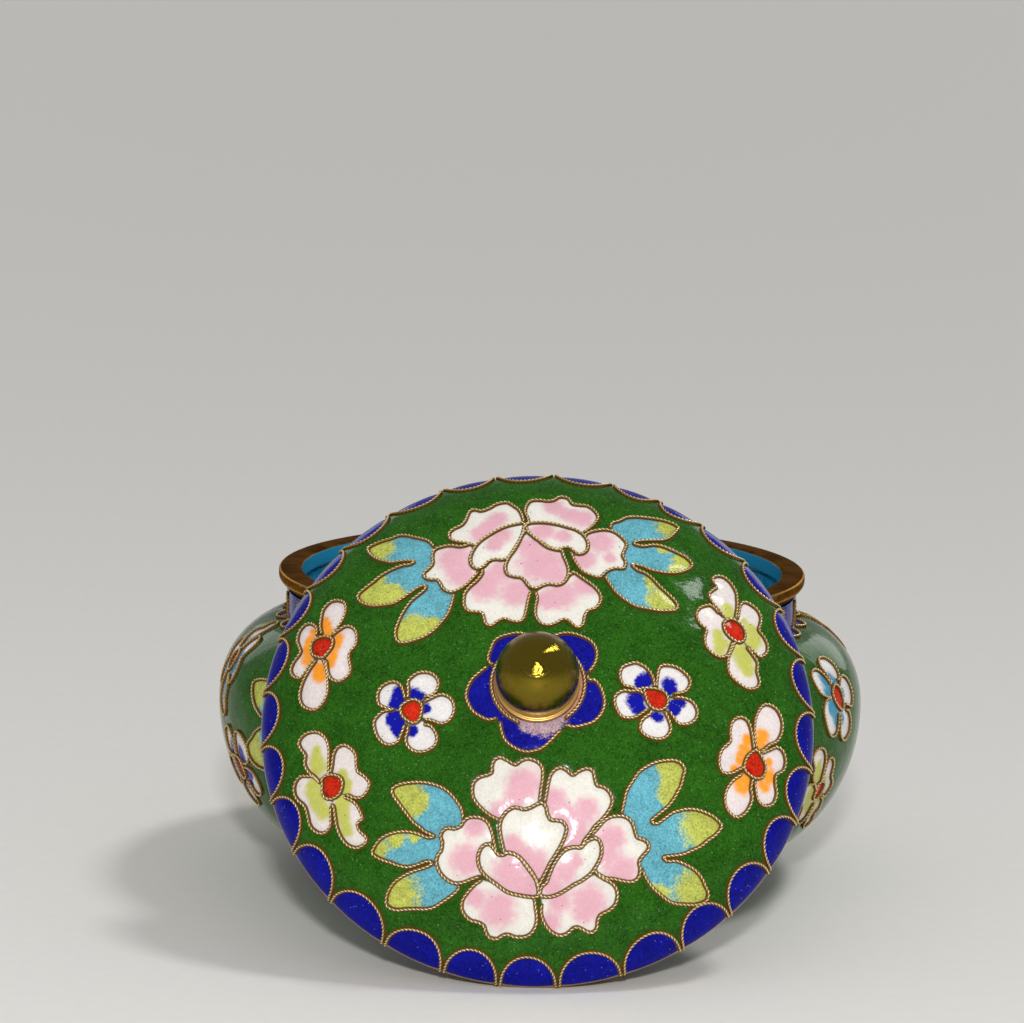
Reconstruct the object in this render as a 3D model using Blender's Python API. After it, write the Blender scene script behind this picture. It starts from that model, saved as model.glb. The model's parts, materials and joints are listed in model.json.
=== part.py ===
"""A low, round cloisonne jar of enamelled copper, with its domed lid leaned against the front.

The jar stands on its foot ring. The lid rests with its lower edge on the table and the collar
behind it against the jar's mouth rim. Run with blender --background --python part.py, or from
Blender's text editor. All lengths are in metres, +Z is up, and the lid is on the -Y side.
"""

import math

import bmesh
import bpy
from mathutils import Vector

# Clearance left between pieces that touch
TOUCH_GAP = 0.0003

# Jar body
JAR_HEIGHT = 0.0458
JAR_WALL = 0.0015
BELLY_RADIUS = 0.0479
BELLY_HEIGHT = 0.0262
NECK_RADIUS = 0.0379
NECK_HEIGHT = 0.0072
SHOULDER_TUCK = 0.0028
SHOULDER_POWER = 2.2
FLOOR_RADIUS = 0.0301

# Mouth rim, a ring of bare copper on the neck
RIM_OVERHANG = 0.0012
RIM_WIDTH = 0.0035
RIM_LIP_HEIGHT = 0.0014
RIM_HEIGHT = 0.0026
RIM_ROUNDING = 0.0005

# Foot ring, a turned ring of bare copper under the floor
FOOT_HEIGHT = 0.0043
FOOT_SETBACK = 0.0003
FOOT_FLARE = 0.0011
FOOT_WIDTH = 0.0022
FOOT_ROUNDING = 0.0004

# Lid, whose own heights run up from the plane of its edge
LID_SETBACK = 0.0009
LID_WALL = 0.0012
DOME_HEIGHT = 0.01425
DOME_POWER = 1.8
SEAT_MARGIN = 0.00052
LID_TILT = math.radians(35.54)

# Collar behind the lid, which drops into the mouth rim
COLLAR_PLAY = 0.0004
COLLAR_WALL = 0.0008
COLLAR_DEPTH = 0.0033

# Brass washer on top of the lid
WASHER_LEDGE = 0.00047
WASHER_LEDGE_HEIGHT = 0.00055
WASHER_HEIGHT = 0.00105

# Brass ball on the washer, flat underneath
KNOB_RADIUS = 0.00564
KNOB_FLAT_DEPTH = 0.0019

# Radii that follow from the sizes above
RIM_OUTER_RADIUS = NECK_RADIUS + RIM_OVERHANG
RIM_INNER_RADIUS = RIM_OUTER_RADIUS - RIM_WIDTH
FOOT_TOP_RADIUS = FLOOR_RADIUS - FOOT_SETBACK
LID_RADIUS = RIM_OUTER_RADIUS - LID_SETBACK
KNOB_FLAT_RADIUS = math.sqrt(KNOB_RADIUS ** 2 - KNOB_FLAT_DEPTH ** 2)
WASHER_RADIUS = KNOB_FLAT_RADIUS + WASHER_LEDGE
SEAT_RADIUS = WASHER_RADIUS + SEAT_MARGIN

# Fineness of the round forms
JAR_SIDES = 64
KNOB_SIDES = 36
BELLY_STEPS = 7
LINING_STEPS = 5
DOME_STEPS = 8
BALL_STEPS = 10
ROUNDING_STEPS = 3
REST_SAMPLES = 720
SMOOTH_ANGLE = math.radians(35)
MERGE_DISTANCE = 1e-7

# Colour, roughness and metallic value of each finish
COPPER = ((0.115, 0.048, 0.012, 1.0), 0.42, 1.0)
BRASS = ((0.45, 0.30, 0.05, 1.0), 0.14, 1.0)
GREEN_ENAMEL = ((0.019, 0.122, 0.012, 1.0), 0.12, 0.0)


def arc(centre, half_width, half_height, start, end, steps):
    """Return points along an elliptical arc, angles counted from the outward direction."""
    points = []
    for step in range(steps + 1):
        angle = start + (end - start) * step / steps
        points.append((
            centre[0] + half_width * math.cos(angle),
            centre[1] + half_height * math.sin(angle),
        ))
    return points


def full_arc(centre, half_width, half_height, power, last, steps):
    """Return points along a squared ellipse, from its outermost point in to a last radius."""
    share = (last - centre[0]) / half_width
    end = math.acos(max(0.0, share) ** (power / 2))
    points = []
    for step in range(steps + 1):
        angle = end * step / steps
        points.append((
            centre[0] + half_width * math.cos(angle) ** (2 / power),
            centre[1] + half_height * math.sin(angle) ** (2 / power),
        ))
    return points


def jar_wall_line(inset, steps):
    """Return the line of the jar's wall from its floor to its neck, moved in by an inset."""
    up = math.radians(90)
    floor_height = FOOT_HEIGHT + TOUCH_GAP
    under = arc(
        (FLOOR_RADIUS, BELLY_HEIGHT),
        BELLY_RADIUS - FLOOR_RADIUS - inset,
        BELLY_HEIGHT - floor_height - inset,
        -up, 0.0, steps,
    )
    shoulder_radius = NECK_RADIUS - SHOULDER_TUCK
    shoulder = full_arc(
        (shoulder_radius, BELLY_HEIGHT),
        BELLY_RADIUS - shoulder_radius - inset,
        JAR_HEIGHT - NECK_HEIGHT - BELLY_HEIGHT - inset,
        SHOULDER_POWER, NECK_RADIUS - inset, steps,
    )
    neck_top = (NECK_RADIUS - inset, JAR_HEIGHT - RIM_HEIGHT - TOUCH_GAP)
    return under + shoulder[1:] + [neck_top]


def jar_section():
    """Return the closed wall of the jar: up the outside, over the neck and down the inside."""
    outside = jar_wall_line(0.0, BELLY_STEPS)
    inside = jar_wall_line(JAR_WALL, LINING_STEPS)
    underside_centre = (0.0, outside[0][1])
    floor_centre = (0.0, inside[0][1])
    return [underside_centre] + outside + inside[::-1] + [floor_centre]


def rim_section():
    """Return the section of the mouth rim: a flat top, a round lip and a tucked underside."""
    corner = math.radians(90)
    top = JAR_HEIGHT
    lip_radius = RIM_OUTER_RADIUS - RIM_ROUNDING
    upper = arc((lip_radius, top - RIM_ROUNDING), RIM_ROUNDING, RIM_ROUNDING,
                corner, 0.0, ROUNDING_STEPS)
    lower = arc((lip_radius, top - RIM_LIP_HEIGHT + RIM_ROUNDING), RIM_ROUNDING, RIM_ROUNDING,
                0.0, -corner, ROUNDING_STEPS)
    neck = (NECK_RADIUS, top - RIM_HEIGHT)
    inner_foot = (RIM_INNER_RADIUS, top - RIM_HEIGHT)
    inner = arc((RIM_INNER_RADIUS + RIM_ROUNDING, top - RIM_ROUNDING), RIM_ROUNDING,
                RIM_ROUNDING, 2 * corner, corner, ROUNDING_STEPS - 1)
    return upper + lower + [neck, inner_foot] + inner


def foot_section():
    """Return the section of the foot ring, which flares down to a rounded standing edge."""
    corner = math.radians(90)
    stand_radius = FOOT_TOP_RADIUS + FOOT_FLARE
    outer = arc((stand_radius - FOOT_ROUNDING, FOOT_ROUNDING), FOOT_ROUNDING, FOOT_ROUNDING,
                0.0, -corner, ROUNDING_STEPS)
    inner = arc((stand_radius - FOOT_WIDTH + FOOT_ROUNDING, FOOT_ROUNDING), FOOT_ROUNDING,
                FOOT_ROUNDING, -corner, -2 * corner, ROUNDING_STEPS)
    top_outer = (FOOT_TOP_RADIUS, FOOT_HEIGHT)
    top_inner = (FOOT_TOP_RADIUS - FOOT_WIDTH, FOOT_HEIGHT)
    return [top_outer] + outer + inner + [top_inner]


def dome_line(inset, smallest_radius, steps):
    """Return the dome's line from its edge to a smallest radius, moved in by an inset."""
    radius = LID_RADIUS - inset
    height = DOME_HEIGHT - inset
    last = math.acos((smallest_radius / radius) ** (DOME_POWER / 2))
    points = []
    for step in range(steps + 1):
        angle = last * step / steps
        across = radius * math.cos(angle) ** (2 / DOME_POWER)
        up = height * math.sin(angle) ** (2 / DOME_POWER)
        points.append((across, up))
    return points


def dome_outside():
    """Return the lid's outer line, from its edge up to the flat seat for the washer."""
    return dome_line(0.0, SEAT_RADIUS, DOME_STEPS)


def dome_lining():
    """Return the lid's inner line, from its edge up to the axis."""
    inside = dome_line(LID_WALL, 0.0, LINING_STEPS)
    inside[-1] = (0.0, DOME_HEIGHT - LID_WALL)
    return inside


def dome_section():
    """Return the closed wall of the lid, with a flat seat for the washer on its top."""
    seat_centre = (0.0, dome_outside()[-1][1])
    return dome_lining()[::-1] + dome_outside() + [seat_centre]


def lining_height_at(reach):
    """Return the height at which the lid's inner line is a given distance from the axis."""
    lining = dome_lining()
    for (radius_a, height_a), (radius_b, height_b) in zip(lining, lining[1:]):
        if radius_b <= reach <= radius_a:
            share = (radius_a - reach) / (radius_a - radius_b)
            return height_a + (height_b - height_a) * share
    return 0.0


def collar_section():
    """Return the section of the lid's collar, which starts just inside the dome."""
    outer = RIM_INNER_RADIUS - COLLAR_PLAY
    inner = outer - COLLAR_WALL
    top = lining_height_at(outer + TOUCH_GAP) - TOUCH_GAP
    return [(outer, top), (outer, -COLLAR_DEPTH), (inner, -COLLAR_DEPTH), (inner, top)]


def washer_section():
    """Return the section of the stepped washer, from the axis out and back over its top."""
    bottom = dome_outside()[-1][1] + TOUCH_GAP
    ledge = bottom + WASHER_LEDGE_HEIGHT
    top = bottom + WASHER_HEIGHT
    return [
        (0.0, bottom),
        (WASHER_RADIUS, bottom),
        (WASHER_RADIUS, ledge),
        (KNOB_FLAT_RADIUS, ledge),
        (KNOB_FLAT_RADIUS, top),
        (0.0, top),
    ]


def knob_section():
    """Return the half outline of the ball above the flat that rests on the washer."""
    flat_height = washer_section()[-1][1] + TOUCH_GAP
    centre = (0.0, flat_height + KNOB_FLAT_DEPTH)
    lowest = -math.asin(KNOB_FLAT_DEPTH / KNOB_RADIUS)
    ball = arc(centre, KNOB_RADIUS, KNOB_RADIUS, lowest, math.radians(90), BALL_STEPS)
    ball[-1] = (0.0, centre[1] + KNOB_RADIUS)
    return [(0.0, flat_height)] + ball


def jar_radius_at(height):
    """Return how far the jar and its rings reach from the jar's axis at a height."""
    reach = 0.0
    for section in (jar_section(), rim_section(), foot_section()):
        for (radius_a, height_a), (radius_b, height_b) in zip(section, section[1:]):
            if not min(height_a, height_b) <= height <= max(height_a, height_b):
                continue
            rise = height_b - height_a
            share = (height - height_a) / rise if rise else 0.0
            reach = max(reach, radius_a + (radius_b - radius_a) * share)
    return reach


def lid_lift():
    """Return how high the middle of the lid's edge is when the lid stands on the table."""
    return max(
        radius * math.cos(LID_TILT) - height * math.sin(LID_TILT)
        for radius, height in dome_section() + collar_section()
    )


def lid_stand_off(lift):
    """Return how far in front of the jar's axis the lid's middle is where it leans on the jar."""
    furthest = 0.0
    steps = REST_SAMPLES
    reach = [jar_radius_at(JAR_HEIGHT * step / steps) for step in range(steps + 1)]
    for radius, height in dome_section() + collar_section():
        for step in range(REST_SAMPLES):
            turn = 2 * math.pi * step / REST_SAMPLES
            across = radius * math.cos(turn)
            along = radius * math.sin(turn)
            above = lift + height * math.sin(LID_TILT) + along * math.cos(LID_TILT)
            if above > JAR_HEIGHT + TOUCH_GAP:
                continue
            level = min(steps, max(0, round(above / JAR_HEIGHT * steps)))
            clear = reach[level] + TOUCH_GAP
            if abs(across) >= clear:
                continue
            forward = math.sqrt(clear * clear - across * across)
            lean = height * math.cos(LID_TILT) - along * math.sin(LID_TILT)
            furthest = max(furthest, forward - lean)
    return furthest


def lid_front(stand_off):
    """Return the furthest reach of the leaning lid in front of the jar's axis."""
    reach = max(
        height * math.cos(LID_TILT) + radius * math.sin(LID_TILT)
        for radius, height in dome_section()
    )
    ball_height = knob_section()[0][1] + KNOB_FLAT_DEPTH
    ball_reach = ball_height * math.cos(LID_TILT) + KNOB_RADIUS
    return stand_off + max(reach, ball_reach)


def clear_scene():
    """Remove every object that is in the scene."""
    for item in list(bpy.data.objects):
        bpy.data.objects.remove(item, do_unlink=True)


def make_material(name, finish):
    """Return a material with the colour, roughness and metallic value of a finish."""
    colour, roughness, metallic = finish
    material = bpy.data.materials.new(name)
    material.use_nodes = True
    shader = material.node_tree.nodes["Principled BSDF"]
    shader.inputs["Base Color"].default_value = colour
    shader.inputs["Roughness"].default_value = roughness
    shader.inputs["Metallic"].default_value = metallic
    material.diffuse_color = colour
    return material


def make_holder(name, parent, location, rotation):
    """Return an empty that carries the pieces of the jar or of the lid."""
    holder = bpy.data.objects.new(name, None)
    bpy.context.collection.objects.link(holder)
    holder.parent = parent
    holder.location = location
    holder.rotation_euler = rotation
    return holder


def turn_piece(name, section, closed, sides, finish, holder):
    """Turn a section once round the vertical axis of its holder and add it as one solid.

    A closed section is the section of a ring. An open one starts and ends on the axis.
    """
    work = bmesh.new()
    corners = [work.verts.new((radius, 0.0, height)) for radius, height in section]
    pairs = list(zip(corners, corners[1:]))
    if closed:
        pairs.append((corners[-1], corners[0]))
    edges = [work.edges.new(pair) for pair in pairs]
    bmesh.ops.spin(
        work, geom=corners + edges, cent=Vector(), axis=Vector((0.0, 0.0, 1.0)),
        angle=2 * math.pi, steps=sides, use_merge=True,
    )
    bmesh.ops.remove_doubles(work, verts=work.verts, dist=MERGE_DISTANCE)
    bmesh.ops.recalc_face_normals(work, faces=work.faces)
    if work.calc_volume(signed=True) < 0:
        bmesh.ops.reverse_faces(work, faces=work.faces)
    mesh = bpy.data.meshes.new(name)
    work.to_mesh(mesh)
    work.free()
    mesh.shade_smooth()
    mesh.set_sharp_from_angle(angle=SMOOTH_ANGLE)
    mesh.materials.append(make_material(name, finish))
    piece = bpy.data.objects.new(name, mesh)
    bpy.context.collection.objects.link(piece)
    piece.parent = holder
    return piece


def build_jar(holder):
    """Add the enamelled body and its two rings of bare copper."""
    turn_piece("jar_body", jar_section(), False, JAR_SIDES, GREEN_ENAMEL, holder)
    turn_piece("mouth_rim", rim_section(), True, JAR_SIDES, COPPER, holder)
    turn_piece("foot_ring", foot_section(), True, JAR_SIDES, COPPER, holder)


def build_lid(holder):
    """Add the enamelled dome, the collar behind it and the brass knob with its washer."""
    turn_piece("lid_dome", dome_section(), False, JAR_SIDES, GREEN_ENAMEL, holder)
    turn_piece("lid_collar", collar_section(), True, JAR_SIDES, COPPER, holder)
    turn_piece("knob_washer", washer_section(), False, KNOB_SIDES, BRASS, holder)
    turn_piece("knob", knob_section(), False, KNOB_SIDES, BRASS, holder)


def main():
    """Build the jar and the lid that leans on it, centred on the ground they cover."""
    clear_scene()
    lift = lid_lift()
    stand_off = lid_stand_off(lift)
    middle = (BELLY_RADIUS - lid_front(stand_off)) / 2
    root = make_holder("root", None, (0.0, -middle, 0.0), (0.0, 0.0, 0.0))
    build_jar(make_holder("jar", root, (0.0, 0.0, 0.0), (0.0, 0.0, 0.0)))
    lean = math.radians(90) - LID_TILT
    build_lid(make_holder("lid", root, (0.0, -stand_off, lift), (lean, 0.0, 0.0)))


main()
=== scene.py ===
"""The looks of a low, round cloisonne jar whose domed lid leans against its front.

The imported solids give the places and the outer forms. This script lays the enamel, the twisted
wires that wall its cells, the turned copper rings and the brass knob on them, then adds the
floor, the light and the camera. Patterns are drawn in millimetres on the flattened metal.
"""

import json
import logging
import math
from dataclasses import dataclass, replace
from enum import Enum

import bpy
import numpy as np
from mathutils import Matrix, Vector
from mathutils.kdtree import KDTree

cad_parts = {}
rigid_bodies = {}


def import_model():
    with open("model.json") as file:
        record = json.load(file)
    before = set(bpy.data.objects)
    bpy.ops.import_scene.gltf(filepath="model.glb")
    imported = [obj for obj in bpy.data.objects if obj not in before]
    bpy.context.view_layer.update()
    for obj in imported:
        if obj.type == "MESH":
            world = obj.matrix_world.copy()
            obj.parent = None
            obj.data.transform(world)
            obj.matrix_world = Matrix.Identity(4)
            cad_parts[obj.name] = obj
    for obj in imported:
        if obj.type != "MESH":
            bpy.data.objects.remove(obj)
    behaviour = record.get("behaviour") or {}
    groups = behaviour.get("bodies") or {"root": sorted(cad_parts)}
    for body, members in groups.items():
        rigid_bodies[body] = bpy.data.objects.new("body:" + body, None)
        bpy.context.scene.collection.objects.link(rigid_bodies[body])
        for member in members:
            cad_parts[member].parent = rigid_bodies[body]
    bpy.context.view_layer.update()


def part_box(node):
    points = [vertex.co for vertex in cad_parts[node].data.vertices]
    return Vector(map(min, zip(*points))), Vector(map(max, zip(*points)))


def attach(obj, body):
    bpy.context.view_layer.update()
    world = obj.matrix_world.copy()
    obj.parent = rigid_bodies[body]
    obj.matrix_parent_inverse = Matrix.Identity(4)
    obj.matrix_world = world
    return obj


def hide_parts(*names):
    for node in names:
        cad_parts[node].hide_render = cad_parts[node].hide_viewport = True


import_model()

log = logging.getLogger("cloisonne_jar")

MM = 0.001
BODY = "root"
MERGE = 1e-6
SMOOTH_ANGLE = math.radians(35)

# Millimetres between two pieces that touch, and from the lining to wires that aren't near it
TOUCH_GAP = 0.3
FAR = 9.0

# The darker patch of painted shade low on the left of a flower's red middle, and how far a patch of
# colour reaches at most
RED_SHADE_PATCH = (-1.0, -1.2, 0.6)
PATCH_EDGE = 1.5

Point = tuple[float, float]
Point3 = tuple[float, float, float]
Line = tuple[Point, ...]
Patch = tuple[float, float, float]
Colour = tuple[float, float, float]


def shade(red: int, green: int, blue: int) -> Colour:
    """Turn an 8-bit screen colour into a linear one."""
    screen = (value / 255 for value in (red, green, blue))
    return tuple(v / 12.92 if v <= 0.04045 else ((v + 0.055) / 1.055) ** 2.4 for v in screen)


@dataclass(frozen=True)
class Enamel:
    """One filling of a cell: its main colour, a second one in patches, and its specks."""

    tone: Colour
    second: Colour
    soften: float = 0.2
    speck_tone: Colour = (0.02, 0.02, 0.08)
    specks: float = 0.0


class Glaze(Enum):
    """The enamels of this jar."""

    GROUND = Enamel(shade(40, 90, 20), shade(40, 90, 20), 0.2, shade(96, 132, 84), 0.3)
    BLUE = Enamel(shade(13, 16, 136), shade(20, 70, 90), 0.15)
    SPILLED = Enamel(shade(20, 22, 142), shade(186, 158, 166), 0.4)
    PEONY = Enamel(shade(240, 236, 226), shade(232, 178, 191), 0.5, shade(40, 34, 110), 0.2)
    LEAF = Enamel(shade(104, 176, 192), shade(190, 196, 92), 0.28, shade(30, 100, 50), 0.4)
    BLUE_FLOWER = Enamel(shade(236, 232, 230), shade(20, 24, 160), 0.3, shade(80, 130, 60), 0.2)
    ORANGE_FLOWER = Enamel(shade(236, 224, 222), shade(255, 160, 40), 0.5, shade(80, 130, 60), 0.1)
    LIME_FLOWER = Enamel(shade(236, 226, 222), shade(200, 202, 96), 0.46, shade(90, 130, 60), 0.2)
    SKY_FLOWER = Enamel(shade(234, 230, 228), shade(64, 150, 186), 0.46, shade(80, 130, 60), 0.1)
    # The second, darker red is painted shade, laid low on the left of each flower's middle.
    RED = Enamel(shade(204, 44, 22), shade(170, 20, 10), 0.2)
    SEAT = Enamel(shade(202, 140, 112), shade(186, 158, 166), 0.4)
    LINING = Enamel(shade(40, 140, 180), shade(30, 110, 146), 0.3)


@dataclass(frozen=True)
class Cell:
    """One cell of the pattern: the line of its wire, in millimetres, and what fills it.

    The wire is a closed loop unless the rest of the outline is hidden beneath other cells.
    """

    line: Line
    glaze: Glaze
    patches: tuple[Patch, ...] = ()
    hidden: Line = ()


@dataclass(frozen=True)
class Flower:
    """A small flower: a red middle in a ring of wire, and petals whose lines end at it."""

    middle: Point
    ring: Line
    petals: tuple[Line, ...]
    glaze: Glaze
    patches: tuple[Patch, ...]

    def cells(self) -> list[Cell]:
        """Return the petals, with their second colour in patches, and then the middle with its patch
        of painted shade.
        """
        found = [Cell(line, self.glaze, self.patches, (self.middle,)) for line in self.petals]
        # A patch of darker red, low on the left of the middle, is painted shade.
        shade_patch = (self.middle[0] + RED_SHADE_PATCH[0], self.middle[1] + RED_SHADE_PATCH[1], RED_SHADE_PATCH[2])
        return found + [Cell(self.ring, Glaze.RED, (shade_patch,))]


# The lid's pattern in millimetres, flattened about the axis, with y away from the table. The
# cells are laid in their order, and each later one covers those before it.

LOWER_PEONY = (
    Cell(((-5.0, -19.0), (-6.1, -18.4), (-7.3, -17.4), (-8.3, -16.1), (-8.5, -14.9), (-8.3, -13.9),
          (-7.5, -13.2), (-6.0, -12.7), (-5.9, -11.8), (-5.6, -10.9), (-4.8, -10.5), (-3.9, -10.9),
          (-2.75, -11.5), (-2.0, -11.0), (-1.0, -10.7), (0.2, -11.1), (0.9, -11.9), (1.0, -13.2),
          (0.8, -14.8), (0.65, -16.3)),
         Glaze.PEONY, ((-1.5, -14.2, 2.3), (-5.0, -18.0, 1.4), (-2.8, -16.4, 1.4)),
         ((-1.0, -20.0), (-4.0, -20.5))),
    Cell(((1.3, -16.5), (1.5, -15.25), (1.7, -14.0), (2.0, -12.85), (2.6, -12.1), (3.3, -11.8),
          (4.1, -12.1), (5.0, -12.75), (5.8, -12.2), (6.8, -11.8), (7.7, -12.1), (8.0, -13.2),
          (8.3, -14.0), (9.1, -14.2), (9.85, -14.7), (10.4, -15.7), (10.3, -16.7), (9.75, -17.75),
          (8.9, -18.8), (8.1, -19.6), (7.7, -20.25), (6.8, -21.5), (6.3, -22.4), (5.2, -22.5),
          (4.1, -22.75)),
         Glaze.PEONY, ((2.5, -16.4, 1.7), (7.0, -17.3, 1.6), (5.4, -20.6, 2.3), (4.0, -18.2, 1.6)),
         ((2.2, -21.4), (0.8, -18.0))),
    Cell(((7.8, -20.6), (8.5, -19.8), (9.3, -18.8), (10.2, -18.2), (11.2, -18.0), (12.25, -18.1),
          (13.1, -18.7), (13.5, -19.6), (13.9, -20.7), (14.85, -21.0), (15.5, -21.5), (15.5, -22.3),
          (14.75, -23.2), (14.3, -24.0), (14.5, -25.0), (14.3, -26.1), (13.5, -26.7), (12.25, -26.7),
          (11.0, -26.5), (9.75, -26.4), (8.6, -25.8), (8.1, -25.5)),
         Glaze.PEONY, ((10.5, -21.0, 1.8), (12.0, -25.3, 2.1), (9.5, -23.5, 1.4)),
         ((7.3, -23.3),)),
    Cell(((-5.15, -23.2), (-5.5, -21.7), (-5.8, -20.5), (-6.3, -19.4), (-7.1, -18.8), (-8.0, -18.6),
          (-9.0, -18.7), (-9.6, -19.2), (-10.0, -19.8), (-10.9, -20.15), (-11.7, -20.0),
          (-12.4, -20.35), (-12.75, -21.1), (-12.5, -21.9), (-12.65, -23.0), (-13.1, -23.6),
          (-13.3, -24.6), (-12.85, -25.9), (-11.9, -26.9), (-10.9, -27.4), (-9.8, -27.4),
          (-8.6, -27.0), (-7.5, -26.6)),
         Glaze.PEONY, ((-9.2, -24.4, 2.2), (-8.0, -20.0, 1.4)), ((-6.0, -24.6),)),
    Cell(((-7.2, -27.1), (-8.0, -27.6), (-8.8, -28.4), (-9.5, -29.3), (-9.8, -30.0), (-9.8, -30.9),
          (-9.4, -31.7), (-8.6, -32.4), (-7.65, -32.65), (-6.8, -33.1), (-6.5, -34.0), (-6.0, -34.7),
          (-5.0, -34.9), (-4.1, -34.4), (-3.4, -34.3), (-2.5, -34.6), (-1.3, -34.6), (-0.25, -34.1),
          (0.4, -33.0), (0.5, -31.7), (0.3, -30.5), (0.2, -29.5)),
         Glaze.PEONY, ((-4.8, -31.0, 2.4), (-8.0, -29.3, 1.3)), ((-1.0, -27.8),)),
    Cell(((1.1, -30.25), (1.1, -31.5), (1.6, -32.75), (2.5, -33.8), (3.7, -34.3), (4.75, -34.0),
          (5.5, -33.3), (6.1, -33.1), (6.9, -33.4), (8.0, -33.8), (8.8, -33.2), (8.9, -32.1),
          (9.3, -31.3), (10.4, -30.7), (11.2, -29.9), (11.5, -28.8), (11.3, -27.75), (10.6, -27.0),
          (9.5, -26.5), (8.6, -26.0)),
         Glaze.PEONY, ((7.5, -29.8, 2.5), (2.5, -32.5, 1.4), (3.6, -29.8, 1.4), (6.8, -31.3, 1.0)),
         ((1.5, -28.0),)),
    Cell(((0.6, -27.75), (0.4, -27.1), (-0.15, -26.1), (-1.1, -24.9), (-2.1, -23.9), (-3.4, -23.4),
          (-4.0, -23.4), (-4.2, -22.75), (-4.5, -21.5), (-4.7, -20.25), (-4.6, -19.2), (-4.0, -18.1),
          (-3.0, -17.4), (-2.3, -17.4), (-1.4, -17.6), (-0.5, -17.3), (0.4, -16.8), (1.0, -16.7),
          (1.5, -17.3), (1.7, -18.2), (2.15, -18.9), (3.0, -19.0), (3.8, -19.2), (4.3, -20.0),
          (4.1, -21.1), (3.7, -22.1), (3.0, -23.4), (2.25, -24.6), (1.6, -25.9), (1.1, -26.9)),
         Glaze.PEONY, ((-3.0, -22.2, 1.3), (0.0, -25.0, 2.0), (-1.6, -23.4, 1.2))),
    Cell(((1.1, -29.1), (2.5, -29.1), (3.9, -28.5), (5.4, -27.5), (6.8, -26.7), (7.9, -25.7),
          (8.7, -24.4), (9.1, -23.2), (9.0, -21.9), (8.4, -21.2), (7.7, -21.3), (6.9, -21.8),
          (6.3, -22.5), (5.3, -22.5), (4.3, -22.85), (3.5, -23.6), (2.7, -24.8), (2.15, -26.1),
          (1.7, -27.3), (1.2, -27.65), (0.9, -28.4)),
         Glaze.PEONY, ((2.5, -27.8, 1.4), (4.2, -25.8, 1.5), (5.6, -24.2, 1.0))),
    Cell(((0.6, -29.1), (-0.7, -29.2), (-2.1, -29.0), (-3.6, -28.6), (-5.0, -27.65), (-6.3, -26.7),
          (-7.2, -25.7), (-7.6, -24.4), (-7.4, -23.2), (-6.8, -22.4), (-6.0, -22.3), (-5.5, -22.85),
          (-4.9, -23.6), (-4.2, -23.7), (-3.6, -23.4), (-2.65, -23.6), (-1.7, -24.3), (-0.8, -25.5),
          (0.0, -26.5), (0.5, -27.5)),
         Glaze.PEONY, ((-2.9, -26.2, 2.8), (-0.9, -28.0, 1.4))),
)

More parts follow.
